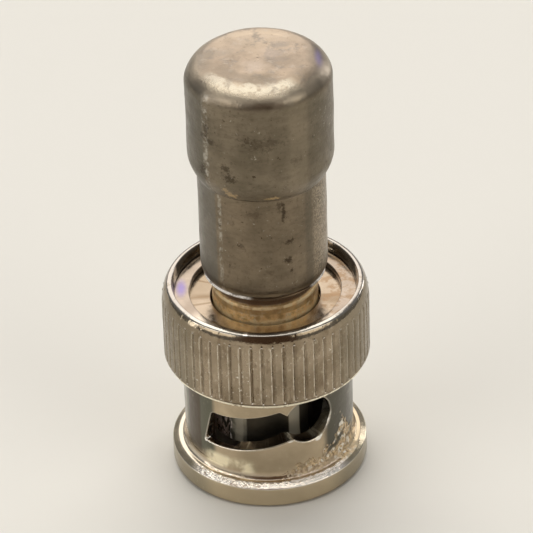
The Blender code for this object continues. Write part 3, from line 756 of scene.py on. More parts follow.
def body():
    outline = [(3.25, 10.60), (4.80, 10.60), (4.80, 11.10), (6.00, 11.10), (6.00, 11.90), (3.71, 11.90)]
    outline += [(3.71, h) for h in np.linspace(12.6, 14.62, 18)]
    outline += arc(3.50, 14.62, 0.21, 0.24, 0, 80, 9)[1:]
    outline += [(3.50, 14.88), (3.47, 14.93), (3.46, 15.2), (3.50, 15.30), (3.50, 15.60)]
    outline += [(3.35, 15.65), (3.35, 19.35), (3.15, 19.55), (2.5, 19.55), (2.5, 13.45), (3.25, 13.45)]

    def shape(r, z, a):
        return np.where((r > 3.5) & (r < 3.9) & (z > 12.5), ripple(r, z, a, 0.03, 0.9, 8.0), r), z
    return add_object("neck", *lathe(outline, np.arange(0, 360, 2.0), shape))


def flat_ring(name, r0, r1, z0, z1, edge, columns, wave=0.0):
    points = [(r0, z0), (r1, z0), (r1, z1), (r0, z1), (r0, z0)]
    points = rounded(points, {1: edge * 0.5, 2: edge, 3: edge})[:-1]
    split = []
    for p, q in zip(points, points[1:] + points[:1]):
        n = max(1, int(math.dist(p, q) / 0.16))
        split += [(p[0] + (q[0] - p[0]) * s / n, p[1] + (q[1] - p[1]) * s / n) for s in range(n)]

    def shape(r, z, a):
        x, y = across(r, a)
        return r, np.where(z < z1 - 0.06, z, z - wave * (0.5 + bumps(x * 0.7, y * 0.7, r0)))
    return add_object(name, *lathe(split, columns, shape))


def wave_spring(index):
    """A wave washer between the plug's flange and the thrust washer, built with its waves at rest; the real
    one flattens as the nut is pushed.
    """
    outline = rounded([(3.81, 0.0), (5.90, 0.0), (5.90, 0.15), (3.81, 0.15), (3.81, 0.0)],
                      {1: 0.04, 2: 0.04, 3: 0.04})[:-1]
    start = 12.135 + 0.57 * index

    def shape(r, z, a):
        return r, z + start + 0.185 * np.cos(np.radians(3.0 * (a - 90.0) + 180.0 * index))
    return add_object("wave_spring_fine_%d" % (index + 1), *lathe(outline, np.arange(0, 360, 2.0), shape))


def contact():
    """The spring-finger tube: four fingers with parted edges, cut from a turned tube by two straight cuts
    across it.
    """
    section = [(3.80, CONTACT_TIP)]
    section += arc(3.98, CONTACT_TIP + 0.20, 0.20, 0.20, -90, 0, 6)
    section += [(4.18, 3.95), (4.165, 4.1), (4.12, 4.32), (4.10, 4.45)]
    section += [(4.10, h) for h in np.linspace(4.8, 10.4, 14)]
    section += [(4.10, 10.55), (3.20, 10.55), (3.20, 13.40), (2.60, 13.40), (2.60, 10.05)]
    section += [(3.60, 10.05)] + [(3.60, h) for h in np.linspace(9.6, 3.5, 12)] + [(3.62, 3.38), (3.68, 3.30)]
    pts, faces = lathe(section, np.arange(0, 360, 1.5))
    tube = add_object("contact", pts, faces)
    for turn in (45.0, 135.0):
        bm = bmesh.new()
        bmesh.ops.create_cube(bm, size=1.0)
        bmesh.ops.scale(bm, verts=bm.verts, vec=(0.45 * MM, 9.6 * MM, 6.2 * MM))
        bmesh.ops.translate(bm, verts=bm.verts, vec=(0, 0, (CONTACT_TIP + 5.2 - 3.1) * MM))
        bmesh.ops.rotate(bm, verts=bm.verts, matrix=Matrix.Rotation(math.radians(turn), 3, "Z"))
        mesh = bpy.data.meshes.new("cut")
        bm.to_mesh(mesh)
        bm.free()
        tool = bpy.data.objects.new("cut", mesh)
        bpy.context.scene.collection.objects.link(tool)
        mod = tube.modifiers.new("cut", "BOOLEAN")
        mod.operation, mod.object, mod.solver = "DIFFERENCE", tool, "EXACT"
        graph = bpy.context.evaluated_depsgraph_get()
        made = bpy.data.meshes.new_from_object(tube.evaluated_get(graph))
        tube.modifiers.clear()
        tube.data = made
        bpy.data.objects.remove(tool, do_unlink=True)
    tube.data.shade_smooth()
    tube.data.set_sharp_from_angle(angle=math.radians(40))
    return tube


def insulator():
    outline = [(2.55, 4.45), (3.45, 4.45), (3.52, 4.48), (3.55, 4.55), (3.55, 10.0), (2.55, 10.0),
               (2.55, 13.35), (0.72, 13.35), (0.72, 8.85), (2.45, 8.85), (2.45, 4.55), (2.48, 4.48)]
    return add_object("dielectric", *lathe(outline, np.arange(0, 360, 3.0)))


def pin():
    outline = [(0.0, 3.45)] + arc(0.0, 4.12, 0.67, 0.67, -88, 0, 10)
    outline += [(0.67, 13.45), (1.10, 13.45), (1.10, 14.45), (0.80, 14.45), (0.80, 19.85), (0.45, 19.85),
                (0.45, 17.85), (0.0, 17.85)]
    return add_object("pin", *lathe(outline, np.arange(0, 360, 8.0)))


def seal():
    points = rounded([(4.15, 9.50), (4.80, 9.50), (4.80, 10.55), (4.15, 10.55), (4.15, 9.50)],
                     {1: 0.12, 2: 0.12, 3: 0.12})[:-1]
    return add_object("seal", *lathe(points, np.arange(0, 360, 3.0)))


# Materials

def scuffs(g, light, scale, low, high, where=1.0):
    """Small bright worn flecks."""
    fleck = g.times(g.step(g.noise(scale, 3.0, 0.62), low, high), where)
    g.coat(g.times(fleck, g.step(g.noise(520.0, 2.0), 0.42, 0.62)), light)


def knurl_metal():
    g = Graph("nut_knurl")
    g.color = g.mix(g.step(g.noise(330.0, 4.0, 0.62), 0.36, 0.66), (0.26, 0.205, 0.140), (0.38, 0.308, 0.222))
    land = g.turned(0.00725, 0.30)
    g.coat(g.times(g.step(g.noise(2300.0, 2.0, 0.6, land), 0.56, 0.70), 0.55), (0.19, 0.14, 0.09))
    scuffs(g, (0.85, 0.80, 0.70), 3100.0, 0.63, 0.70, g.step(g.z, 0.0134, 0.0138, 1.0, 0.15))
    g.coat(g.step(g.noise(3600.0, 3.0, 0.65, g.turned(0.00725, 0.6)), 0.58, 0.72, 0.0, 0.45),
           (0.66, 0.59, 0.47))
    # Painted shade: the grooves are painted darker.
    groove = g.step(g.mark("groove"), 0.15, 0.8)
    g.coat(g.times(groove, 0.30), (0.13, 0.095, 0.06))
    # Painted highlight on the left edge of each groove and painted shade on its right edge, as if lit from
    # the right.
    left = g.times(g.mark("left"), g.step(g.noise(1900.0, 2.0), 0.30, 0.60, 0.15, 0.7))
    g.coat(left, (0.92, 0.85, 0.72))
    right = g.times(g.mark("right"), g.step(g.noise(1700.0, 2.0), 0.30, 0.60, 0.25, 0.6))
    g.coat(right, (0.11, 0.08, 0.05))
    # Painted highlight: bright spots at the ends of the grooves.
    ends = g.times(g.step(g.mark("ends"), 0.45, 0.90), g.step(g.noise(900.0, 2.0), 0.35, 0.55, 0.35, 1.0))
    g.coat(ends, (1.0, 0.95, 0.86))
    # Painted reflection: the nut's left and right sides are painted darker.
    sides = g.either(g.sector(-120, -52, 18.0, 50.0), g.sector(52, 120, 18.0, 50.0))
    g.coat(g.times(sides, 0.5), (0.20, 0.175, 0.125))
    # Painted shade: a dark line above the knurl's lower lip; painted highlight: a bright line along the lip.
    lip = g.times(g.step(g.z, 0.00890, 0.00895, 1.0, 0.0),
                  g.step(g.noise(1500.0, 3.0, 0.6), 0.32, 0.48, 0.3, 1.0))
    g.coat(g.band(g.z, 0.00898, 0.00906, 0.00003), (0.15, 0.11, 0.07))
    g.coat(lip, (1.0, 0.93, 0.74))
    crown = g.times(g.step(g.z, 0.01455, 0.01466), g.step(g.noise(1100.0, 3.0, 0.6), 0.28, 0.45, 0.45, 1.0))
    g.coat(crown, (0.40, 0.37, 0.335))
    nick = g.spot(-12.5, 14.70, 0.16, 0.10, 6.7, 0.5)
    g.coat(nick, (0.95, 0.92, 0.88))
    smooth = g.step(g.z, 0.01392, 0.01402)
    rough = g.mix_value(smooth, g.step(g.noise(1500.0, 3.0), 0.3, 0.7, 0.22, 0.36), 0.13)
    normal = g.bump(g.noise(800.0, 3.0), 0.00003)
    normal = g.bump(g.noise(4200.0, 3.0, 0.6), 0.000008, normal)
    return g.finish(rough, normal, g.mix_value(g.op("MAXIMUM", lip, ends), 1.0, 0.25))


def barrel_metal():
    g = Graph("nut_barrel")
    g.color = g.mix(g.step(g.noise(300.0, 4.0, 0.62), 0.36, 0.66), (0.42, 0.34, 0.23), (0.53, 0.43, 0.30))
    # Painted light: the flange's outer side is painted lighter than the barrel.
    foot = g.times(g.step(g.z, 0.0016, 0.0018, 1.0, 0.0), g.step(g.noise(500.0, 3.0), 0.3, 0.7, 0.7, 1.0))
    g.coat(foot, (0.60, 0.50, 0.345))
    upper = g.step(g.z, 0.0020, 0.0032)
    # Painted reflections on the barrel's sides: dark greenish bands left and right, a dark brown wedge at the
    # left, and a pale line at the far left.
    g.coat(g.times(g.sector(-66, -43, 5.0, 60.0), upper, 0.92), (0.100, 0.105, 0.081))
    g.coat(g.times(g.sector(44, 78, 7.0, 60.0), upper, 0.95), (0.088, 0.085, 0.070))
    g.coat(g.times(g.sector(-69, -55, 2.5), upper, 0.8), (0.080, 0.055, 0.036))
    g.coat(g.times(g.sector(-81, -76, 2.5), upper, 0.5), (0.42, 0.39, 0.33))
    # Painted shade: the flange's left and right sides are painted darker.
    painted_shade_girth = g.either(g.sector(-120, -48, 16.0, 50.0), g.sector(50, 120, 18.0, 50.0))
    below = g.step(g.z, 0.0016, 0.0020, 1.0, 0.0)
    g.coat(g.times(painted_shade_girth, below, 0.6), (0.27, 0.25, 0.19))
    # Painted highlight: a cream patch low on the barrel, front left.
    light = g.times(g.sector(-44, -16, 8.0), g.band(g.z, 0.0019, 0.0030, 0.0005))
    g.coat(g.times(light, g.step(g.noise(700.0, 3.0, 0.6), 0.35, 0.6)), (1.0, 0.90, 0.66))
    # Painted highlight: a paler band on the fillet at the foot of the barrel, front and left.
    painted_fillet_highlight = g.times(g.sector(-110, -10, 14.0), g.band(g.z, 0.00183, 0.00215, 0.00012))
    g.coat(g.times(painted_fillet_highlight, 0.8), (0.60, 0.545, 0.455))
    scuffs(g, (0.70, 0.61, 0.46), 3900.0, 0.64, 0.72)
    dirt = g.step(g.mark("dirt"), 0.25, 0.75)
    grain = g.noise(3800.0, 4.0, 0.65)
    deposit = g.mix(g.step(grain, 0.38, 0.56), (0.26, 0.17, 0.09), (0.80, 0.64, 0.42))
    deposit = g.mix(g.step(g.noise(2700.0, 3.0, 0.6), 0.535, 0.60), deposit, (1.0, 0.97, 0.90))
    patchy = g.step(g.noise(900.0, 3.0, 0.6), 0.34, 0.52)
    g.coat(g.times(dirt, patchy, 0.92), deposit)
    scratch = g.step(g.noise(3000.0, 2.0, 0.5, g.turned(0.02)), 0.60, 0.66)
    near_wall = g.mix(g.times(scratch, 0.7), (0.34, 0.265, 0.20), (0.95, 0.85, 0.7))
    ticks = g.step(g.noise(2300.0, 2.0, 0.6), 0.56, 0.62)
    side_wall = g.mix(g.times(ticks, 0.7), (0.52, 0.49, 0.42), (1.0, 0.97, 0.92))
    far_wall = g.mix(g.sector(33, 75, 3.0), near_wall, side_wall)
    bore = g.times(g.step(g.radius, 0.00562, 0.00572, 1.0, 0.0), g.step(g.z, 0.0029, 0.0033, 1.0, 0.0))
    inside_bore = g.mix(g.step(g.noise(500.0, 3.0), 0.35, 0.65), (0.36, 0.30, 0.21), (0.46, 0.38, 0.27))
    far_wall = g.mix(bore, far_wall, inside_bore)
    g.coat(g.mark("wall"), far_wall)
    # Worn edges, painted pale as a highlight too: the slot edges, strongest along the lower ones, and the
    # flange's outer edge.
    worn = g.times(g.mark("edge"), g.step(g.noise(1500.0, 2.0), 0.25, 0.5, 0.45, 1.0))
    g.coat(worn, (0.96, 0.90, 0.80))
    # Painted glints: small bright spots at the corners of the slot.
    for angle, height, wide, tall in ((34.3, 4.46, 0.24, 0.17), (36.8, 4.63, 0.10, 0.14),
                                      (13.4, 4.90, 0.22, 0.11), (-49.0, 3.95, 0.12, 0.15)):
        g.coat(g.spot(angle, height, wide, tall, BARREL_R, 0.4), (1.0, 0.98, 0.92))
    ragged = g.noise(3100.0, 4.0, 0.7)
    rag = g.times(g.op("SUBTRACT", ragged, 0.5), 0.0007)
    lid = g.times(g.band(g.z, 0.00152, 0.00230, 0.00005), g.sector(-44, 44, 14.0))
    brown = g.times(lid, g.band(g.radius, 0.00603, 0.00636, 0.00006))
    g.coat(g.times(brown, 0.6), (0.50, 0.40, 0.29))
    thread = g.band(g.op("ADD", g.radius, g.times(rag, 0.25)), 0.00617, 0.00620, 0.00003)
    g.coat(g.times(thread, lid, g.step(ragged, 0.36, 0.5, 0.3, 1.0)), (0.95, 0.83, 0.72))
    # Painted highlight: the front of the flange's ledge is painted pale, with bright sparkles.
    ledge = g.times(lid, g.step(g.op("ADD", g.radius, rag), 0.00638, 0.00650))
    ledge = g.times(ledge, g.step(g.radius, 0.00688, 0.00692, 1.0, 0.0))
    sparkle = g.mix_value(g.sector(-2, 60, 6.0), g.step(g.noise(4600.0, 3.0, 0.7), 0.42, 0.52, 0.2, 1.0),
                          g.step(ragged, 0.32, 0.40, 0.5, 1.0))
    g.coat(ledge, (0.48, 0.385, 0.30))
    g.coat(g.times(ledge, sparkle), (1.0, 0.94, 0.87))
    rough = g.mix_value(dirt, g.step(g.noise(1300.0, 3.0), 0.3, 0.7, 0.17, 0.27), 0.42)
    rough = g.mix_value(ledge, rough, 0.20)
    normal = g.bump(g.noise(800.0, 3.0), 0.00003)
    normal = g.bump(g.noise(4200.0, 3.0, 0.6), 0.000008, normal)
    normal = g.bump(g.times(grain, dirt), 0.00009, normal)
    normal = g.bump(g.times(grain, ledge), 0.00004, normal)
    return g.finish(rough, normal)


def dull_metal(name, light=(0.225, 0.185, 0.132), dark=(0.160, 0.132, 0.092)):
    """The handled grey-brown plating of the cap and the stem, before their own marks."""
    g = Graph(name)
    g.color = g.mix(g.step(g.noise(300.0, 5.0, 0.62), 0.36, 0.66), dark, light)
    rings = g.noise(1500.0, 4.0, 0.65, g.turned(0.0030, 1.9))
    g.coat(g.step(rings, 0.42, 0.70, 0.0, 0.42), (0.115, 0.094, 0.066))
    g.coat(g.step(g.noise(3900.0, 3.0, 0.62), 0.52, 0.70, 0.0, 0.5), (0.105, 0.084, 0.058))
    g.coat(g.step(g.noise(2300.0, 3.0, 0.62), 0.645, 0.74, 0.0, 0.8), (0.05, 0.035, 0.022))
    scuffs(g, (0.42, 0.38, 0.31), 3300.0, 0.63, 0.74)
    g.rough = g.step(g.noise(1100.0, 3.0), 0.3, 0.7, 0.30, 0.42)
    normal = g.bump(g.noise(700.0, 3.0), 0.00004)
    normal = g.bump(g.noise(6000.0, 2.0, 0.5, g.turned(0.0006)), 0.000010, normal)
    g.normal = g.bump(g.noise(5200.0, 3.0, 0.65), 0.000016, normal)
    g.brushed(0.55)
    return g


def blots(g, marks, radius, tone):
    """Small stains: (angle in degrees, height, width and height of the stain in mm, strength)."""
    wobble = g.times(g.op("SUBTRACT", g.noise(4200.0, 4.0, 0.7), 0.5), 4.2)
    for angle, z, wide, tall, amount in marks:
        far = g.far(g.away(g.angle, math.radians(angle), wide / radius), g.away(g.z, z * MM, tall * MM))
        g.coat(g.step(g.op("ADD", far, wobble), 0.3, 1.4, amount, 0.0), tone)


def cap_metal():
    g = dull_metal("cap_nickel")
    top = g.step(g.z, 0.0312, 0.0324)
    # Colour of the top: paler than the sides, mottled, with pits; the back of the top is painted lighter, a
    # painted light.
    worn = g.mix(g.step(g.noise(420.0, 4.0, 0.6), 0.36, 0.64), (0.225, 0.180, 0.135), (0.310, 0.246, 0.185))
    worn = g.mix(g.step(g.y, 0.0000, 0.0034, 0.0, 0.75), worn, (0.355, 0.290, 0.225))
    worn = g.mix(g.step(g.noise(620.0, 4.0, 0.65), 0.52, 0.64, 0.0, 0.75), worn, (0.180, 0.155, 0.130))
    worn = g.mix(g.step(g.noise(1250.0, 4.0, 0.7), 0.54, 0.66, 0.0, 0.5), worn, (0.34, 0.29, 0.24))
    fray = g.times(g.op("SUBTRACT", g.noise(1500.0, 4.0, 0.65), 0.5), 1.9)
    for x, front, wide, deep, amount, tone in ((1.5, -1.7, 0.55, 0.42, 0.7, (0.19, 0.165, 0.14)),
                                               (1.45, 0.2, 0.65, 0.30, 0.6, (0.20, 0.165, 0.135)),
                                               (-2.6, -0.9, 0.9, 0.5, 0.5, (0.20, 0.172, 0.14)),
                                               (-0.2, 0.95, 0.8, 0.75, 0.7, (0.345, 0.285, 0.235)),
                                               (0.9, -0.7, 0.8, 0.6, 0.4, (0.34, 0.275, 0.225))):
        far = g.op("ADD", g.far(g.away(g.x, x * MM, wide * MM), g.away(g.y, -front * MM, deep * MM)), fray)
        worn = g.mix(g.step(far, 0.3, 1.5, amount, 0.0), worn, tone)
    worn = g.mix(g.step(g.noise(3600.0, 3.0, 0.6), 0.60, 0.72, 0.0, 0.5), worn, (0.16, 0.12, 0.08))
    g.coat(top, worn)
    ragged = g.times(g.op("SUBTRACT", g.noise(1100.0, 4.0, 0.65), 0.5), 0.0018)
    ring = g.times(g.step(g.op("ADD", g.radius, ragged), 0.0031, 0.0037), g.step(g.z, 0.0320, 0.0323))
    shade = g.times(g.band(g.radius, 0.0024, 0.0031, 0.0005), g.sector(-50, 10, 30.0))
    g.coat(g.times(shade, top, 0.55), (0.165, 0.135, 0.102))
    # Painted shade: the right flank of the top is painted darker.
    painted_shade_flank = g.times(g.step(g.x, 0.0030, 0.0044), top)
    g.coat(g.times(painted_shade_flank, 0.6), (0.15, 0.135, 0.118))
    # Painted reflection: a lilac glint on the top's right flank.
    far = g.far(g.away(g.x, 4.15 * MM, 0.40 * MM), g.away(g.y, 0.2 * MM, 1.5 * MM))
    g.coat(g.times(g.step(far, 0.1, 1.2, 0.7, 0.0), top), (0.20, 0.165, 0.33))
    # Painted shade: the left flank of the top is painted darker.
    painted_shade_flank = g.times(g.step(g.x, -0.0028, -0.0040), top)
    g.coat(g.times(painted_shade_flank, 0.4), (0.16, 0.145, 0.12))
    # Painted highlight: a cream band on the front of the top's rounded edge, with lower roughness.
    broken = g.step(g.noise(1900.0, 4.0, 0.7), 0.34, 0.52, 0.25, 1.0)
    painted_front_highlight = g.times(ring, broken, g.sector(-58, 30, 14.0))
    g.coat(painted_front_highlight, (0.335, 0.300, 0.245))
    g.rough = g.mix_value(painted_front_highlight, g.rough, 0.26)
    # Painted light: a paler band low on the top's rounding, to lighten a dark reflection there.
    painted_light_band = g.band(g.z, 0.03195, 0.03222, 0.00025)
    g.coat(g.times(painted_light_band, 0.75), (0.36, 0.305, 0.235))
    low = g.op("SUBTRACT", 1.0, top)
    # Painted reflections on the cap's side: a dark greenish band at the left, a bright streak, a paler band
    # and a dark band at the right.
    g.coat(g.times(g.sector(-100, -52, 5.0, 60.0), low, 0.55), (0.115, 0.110, 0.092))
    painted_highlight_streak = g.times(g.sector(-48.5, -46, 3.0), g.step(g.noise(2600.0, 4.0, 0.7), 0.44, 0.64))
    g.coat(g.times(painted_highlight_streak, low, 0.85), (0.43, 0.405, 0.35))
    g.coat(g.times(g.sector(25, 36, 6.0), low, 0.30), (0.29, 0.24, 0.17))
    g.coat(g.times(g.sector(42, 58, 5.0), low, 0.35), (0.12, 0.105, 0.075))
    dark = [(-51, 25.9, 0.35, 0.45, 0.8), (-29, 26.7, 0.40, 0.30, 0.75), (-25, 26.0, 0.45, 0.35, 0.8),
            (-46, 29.3, 0.25, 0.55, 0.7), (-42, 28.4, 0.30, 0.25, 0.7), (-50, 28.7, 0.25, 0.30, 0.6),
            (2, 28.9, 1.3, 0.45, 0.45), (-12, 29.2, 0.5, 0.3, 0.4), (28, 27.2, 0.4, 0.3, 0.35),
            (150, 27.0, 0.8, 0.5, 0.6), (-140, 29.0, 0.6, 0.8, 0.5), (95, 26.4, 0.4, 0.5, 0.6)]
    blots(g, dark, CAP_R, (0.055, 0.042, 0.028))
    brass = [(-26, 24.50, 0.40, 0.25, 0.6), (8, 24.36, 0.45, 0.13, 0.8), (-30, 24.9, 0.25, 0.25, 0.4),
             (120, 24.4, 0.6, 0.2, 0.7)]
    blots(g, brass, 4.6, (0.60, 0.44, 0.24))
    seam = g.times(g.step(g.z, 0.02412, 0.02420, 1.0, 0.0), g.step(g.noise(700.0, 2.0), 0.35, 0.5, 0.3, 0.9))
    g.coat(seam, (0.42, 0.36, 0.26))
    return g.finish(g.rough, g.normal)


def stem_metal():
    g = dull_metal("stem_nickel", (0.235, 0.185, 0.128), (0.175, 0.138, 0.094))
    # Painted reflections on the stem: a dark greenish band at the left, a bright streak, a dark band and a
    # grainy pale band at the right.
    g.coat(g.times(g.sector(-95, -48, 4.0, 60.0), 0.6), (0.140, 0.137, 0.121))
    painted_highlight_streak = g.times(g.sector(-42, -40.5, 2.2), g.step(g.noise(2600.0, 4.0, 0.7), 0.42, 0.62))
    g.coat(g.times(painted_highlight_streak, 0.8), (0.40, 0.375, 0.315))
    g.coat(g.times(g.sector(42, 48, 3.5), 0.5), (0.11, 0.095, 0.07))
    grainy_painted_highlight = g.step(g.noise(6500.0, 4.0, 0.7), 0.42, 0.62)
    g.coat(g.times(g.sector(58, 80, 13.0, 45.0), grainy_painted_highlight, 0.6), (0.52, 0.44, 0.33))
    dark = [(18.5, 22.9, 0.14, 0.75, 0.85), (15, 23.5, 0.2, 0.4, 0.6), (23, 20.5, 0.35, 0.22, 0.9),
            (27, 20.6, 0.2, 0.15, 0.7), (22, 19.0, 0.28, 0.25, 0.9), (25, 18.1, 0.12, 0.18, 0.8),
            (-8, 22.9, 0.5, 0.35, 0.35), (5, 18.2, 0.3, 0.25, 0.35), (-20, 20.3, 0.18, 0.18, 0.5),
            (160, 20.0, 0.5, 0.7, 0.6), (-120, 19.0, 0.4, 0.5, 0.6)]
    blots(g, dark, STEM_R, (0.05, 0.036, 0.024))
    # The bottom edge is painted darker, and a painted highlight lies on it at the front left and at the
    # right.
    low_edge = g.step(g.z, 0.01598, 0.01606, 1.0, 0.0)
    lit = g.either(g.sector(-74, -20, 10.0), g.sector(54, 76, 8.0))
    lip = g.times(low_edge, lit, g.step(g.noise(2100.0, 3.0, 0.65), 0.36, 0.5, 0.35, 1.0))
    g.coat(g.times(low_edge, 0.7), (0.13, 0.085, 0.05))
    g.coat(lip, (1.0, 0.97, 0.93))
    return g.finish(g.rough, g.normal, g.mix_value(lip, 1.0, 0.1))


def neck_metal():
    g = Graph("neck_gold")
    grain = g.noise(4600.0, 4.0, 0.7)
    g.color = g.mix(g.step(g.noise(900.0, 4.0, 0.65), 0.40, 0.58), (0.50, 0.30, 0.12), (1.0, 0.67, 0.30))
    # Painted highlights: bright gold speckles.
    g.coat(g.step(g.noise(2300.0, 4.0, 0.7), 0.50, 0.62, 0.0, 0.8), (1.0, 0.84, 0.54))
    g.coat(g.step(grain, 0.54, 0.63, 0.0, 0.4), (0.38, 0.21, 0.08))
    # Painted shade: a darker band below the ridge; painted reflection: a darker patch at the front.
    g.coat(g.times(g.band(g.z, 0.01425, 0.01455, 0.00010), 0.55), (0.40, 0.23, 0.09))
    g.coat(g.times(g.sector(-10, 18, 12.0), 0.35), (0.46, 0.28, 0.13))
    # Painted highlights: a bright line on the ridge and a bright band at the foot.
    uneven = g.step(g.noise(1500.0, 3.0), 0.34, 0.52, 0.2, 0.9)
    ridge = g.times(g.band(g.z, 0.01464, 0.01476, 0.00008), uneven)
    g.coat(ridge, (1.0, 0.80, 0.48))
    foot = g.times(g.step(g.z, 0.01362, 0.01392, 1.0, 0.0),
                   g.step(g.noise(1700.0, 3.0, 0.6), 0.38, 0.56, 0.0, 0.6))
    g.coat(foot, (1.0, 0.80, 0.48))
    # Painted shade: dark under the stem's overhang, and darker gold below the washer's top.
    g.coat(g.step(g.z, 0.01480, 0.01494, 0.0, 0.95), (0.12, 0.065, 0.032))
    g.coat(g.step(g.z, 0.01335, 0.01350, 0.5, 0.0), (0.48, 0.30, 0.13))
    normal = g.bump(grain, 0.00008)
    return g.finish(g.step(grain, 0.3, 0.7, 0.28, 0.42), normal,
                    g.mix_value(g.sector(-62, 62, 50.0), 0.7, 0.28))


def ring_metal():
    g = Graph("ring_nickel")
    g.color = g.mix(g.step(g.noise(500.0, 3.0, 0.6), 0.36, 0.66), (0.275, 0.225, 0.180),
                    (0.345, 0.290, 0.235))
    stain = g.times(g.sector(55, 120, 16.0), g.step(g.noise(1000.0, 3.0, 0.6), 0.42, 0.60))
    g.coat(g.times(stain, 0.75), (0.20, 0.125, 0.065))
    # Painted reflection: a lilac patch at the left.
    far = g.far(g.away(g.x, -5.86 * MM, 0.42 * MM), g.away(g.y, 0.30 * MM, 1.15 * MM))
    g.coat(g.step(far, 0.1, 1.3, 0.8, 0.0), (0.19, 0.15, 0.36))
    # Painted light: the front of the ring is paler.
    g.coat(g.times(g.sector(-50, 44, 14.0), 0.8), (0.68, 0.60, 0.50))
    normal = g.bump(g.noise(900.0, 2.0), 0.00002)
    return g.finish(g.step(g.noise(1500.0, 3.0), 0.3, 0.7, 0.13, 0.24), normal)


def washer_metal():
    g = Graph("washer_nickel")
    g.color = g.mix(g.step(g.noise(400.0, 3.0, 0.6), 0.36, 0.66), (0.285, 0.225, 0.160),
                    (0.350, 0.285, 0.215))
    line = g.times(g.step(g.cracks(420.0, g.turned(0.004)), 0.0, 0.05, 1.0, 0.0),
                   g.step(g.noise(500.0, 2.0), 0.42, 0.55))
    g.coat(g.times(line, 0.6), (0.16, 0.10, 0.05))
    stain = g.times(g.sector(50, 110, 14.0), g.step(g.noise(1100.0, 3.0, 0.6), 0.48, 0.62))
    g.coat(g.times(stain, 0.7), (0.22, 0.135, 0.07))
    # Painted light: the front of the washer is paler.
    g.coat(g.times(g.sector(-44, 44, 14.0), 0.8), (0.80, 0.74, 0.64))
    # Painted shade: the inner edge next to the neck is dark.
    g.coat(g.step(g.radius, 0.00386, 0.00390, 1.0, 0.0), (0.05, 0.032, 0.02))
    normal = g.bump(g.noise(900.0, 2.0), 0.00002)
    return g.finish(g.step(g.noise(1500.0, 3.0), 0.3, 0.7, 0.14, 0.26), normal)


def contact_metal():
    """Dull fingers with painted reflections: dark at the front, two paler bands and a crumpled bright patch.
    """
    g = Graph("contact_nickel")
    g.color = g.mix(g.step(g.noise(420.0, 4.0, 0.6), 0.35, 0.68), (0.28, 0.265, 0.215), (0.42, 0.40, 0.33))
    g.coat(g.times(g.sector(-22, 76, 2.0), 0.92), (0.035, 0.03, 0.022))
    painted_reflection_bars = g.either(g.sector(-35, -27.5, 1.6), g.sector(20, 30, 1.6))
    g.coat(painted_reflection_bars, (0.38, 0.355, 0.285))
    crumpled = g.times(g.sector(-76, -41, 2.0), g.step(g.noise(1500.0, 3.0, 0.6, None, 1.5), 0.43, 0.52))
    g.coat(crumpled, (1.0, 0.91, 0.88))
    dents = g.op("SUBTRACT", g.noise(1400.0, 2.0, 0.5, None, 1.5), 0.5)
    normal = g.bump(g.times(dents, g.sector(-78, -38, 5.0)), 0.00012)
    normal = g.bump(g.noise(1400.0, 2.0), 0.00002, normal)
    return g.finish(0.42, normal, g.mix_value(g.op("MAXIMUM", painted_reflection_bars, crumpled), 0.9, 0.3))


knurl_mat = knurl_metal()
barrel_mat = barrel_metal()
cap_mat = cap_metal()
stem_mat = stem_metal()
neck_mat = neck_metal()
ring_mat = ring_metal()
washer_mat = washer_metal()
contact_mat = contact_metal()
white_mat = plain("white_plastic", (0.83, 0.82, 0.78), (0.74, 0.72, 0.66), 0.45)
gold_mat = plate("pin_gold", (0.78, 0.56, 0.24), (0.66, 0.45, 0.18), (0.16, 0.28))
rubber_mat = plain("seal_rubber", (0.035, 0.032, 0.03), (0.02, 0.018, 0.017), 0.6, 2400.0, 0.00002)
bronze_mat = plate("spring_bronze", (0.56, 0.40, 0.22), (0.42, 0.28, 0.14), (0.2, 0.34))
tin_mat = plate("tinned_copper", (0.62, 0.61, 0.58), (0.5, 0.49, 0.46), (0.25, 0.4))
solder_mat = plate("solder", (0.55, 0.55, 0.56), (0.42, 0.42, 0.43), (0.25, 0.45))
coat_mat = plain("resistor_coat", (0.55, 0.42, 0.27), (0.46, 0.34, 0.2), 0.5)
shrink_mat = plain("shrink_plastic", (0.03, 0.03, 0.033), (0.018, 0.018, 0.02), 0.5)

# Build

put(knurled_ring(), "nut", ["coupling_nut"], knurl_mat)
put(barrel(), "nut", ["coupling_nut"], barrel_mat)
put(flat_ring("lock_ring", 5.30, 6.42, 13.54, 13.96, 0.09, np.arange(0, 360, 1.5), 0.02), "nut",
    ["retaining_ring"], ring_mat)
put(flat_ring("washer", 3.81, 6.00, 13.09, 13.49, 0.07, np.arange(0, 360, 1.5), 0.015), "washer",
    ["thrust_washer"], washer_mat)
put(end_cap(), "plug", ["end_cap"], cap_mat)
put(stem(), "plug", ["stem_sleeve"], stem_mat)
put(body(), "plug", ["plug_body"], neck_mat)
put(contact(), "plug", ["outer_contact"], contact_mat)
put(insulator(), "plug", ["front_insulator"], white_mat)
put(pin(), "plug", ["center_pin"], gold_mat)
put(seal(), "plug", ["gasket"], rubber_mat)
for index in (0, 1):
    spring = put(wave_spring(index), "plug", ["wave_spring_%d" % (index + 1)], bronze_mat)
    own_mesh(spring)

carried = {
    "rear_insulator": white_mat,
    "ground_disc": tin_mat, "resistor_body": coat_mat, "resistor_front_cap": tin_mat,
    "resistor_rear_cap": tin_mat, "resistor_front_lead": tin_mat, "resistor_rear_lead": tin_mat,
    "resistor_sleeve": shrink_mat, "front_solder": solder_mat, "rear_solder": solder_mat,
}
for node, mat in carried.items():
    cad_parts[node].data.materials.clear()
    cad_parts[node].data.materials.append(mat)


# Stage, light and camera

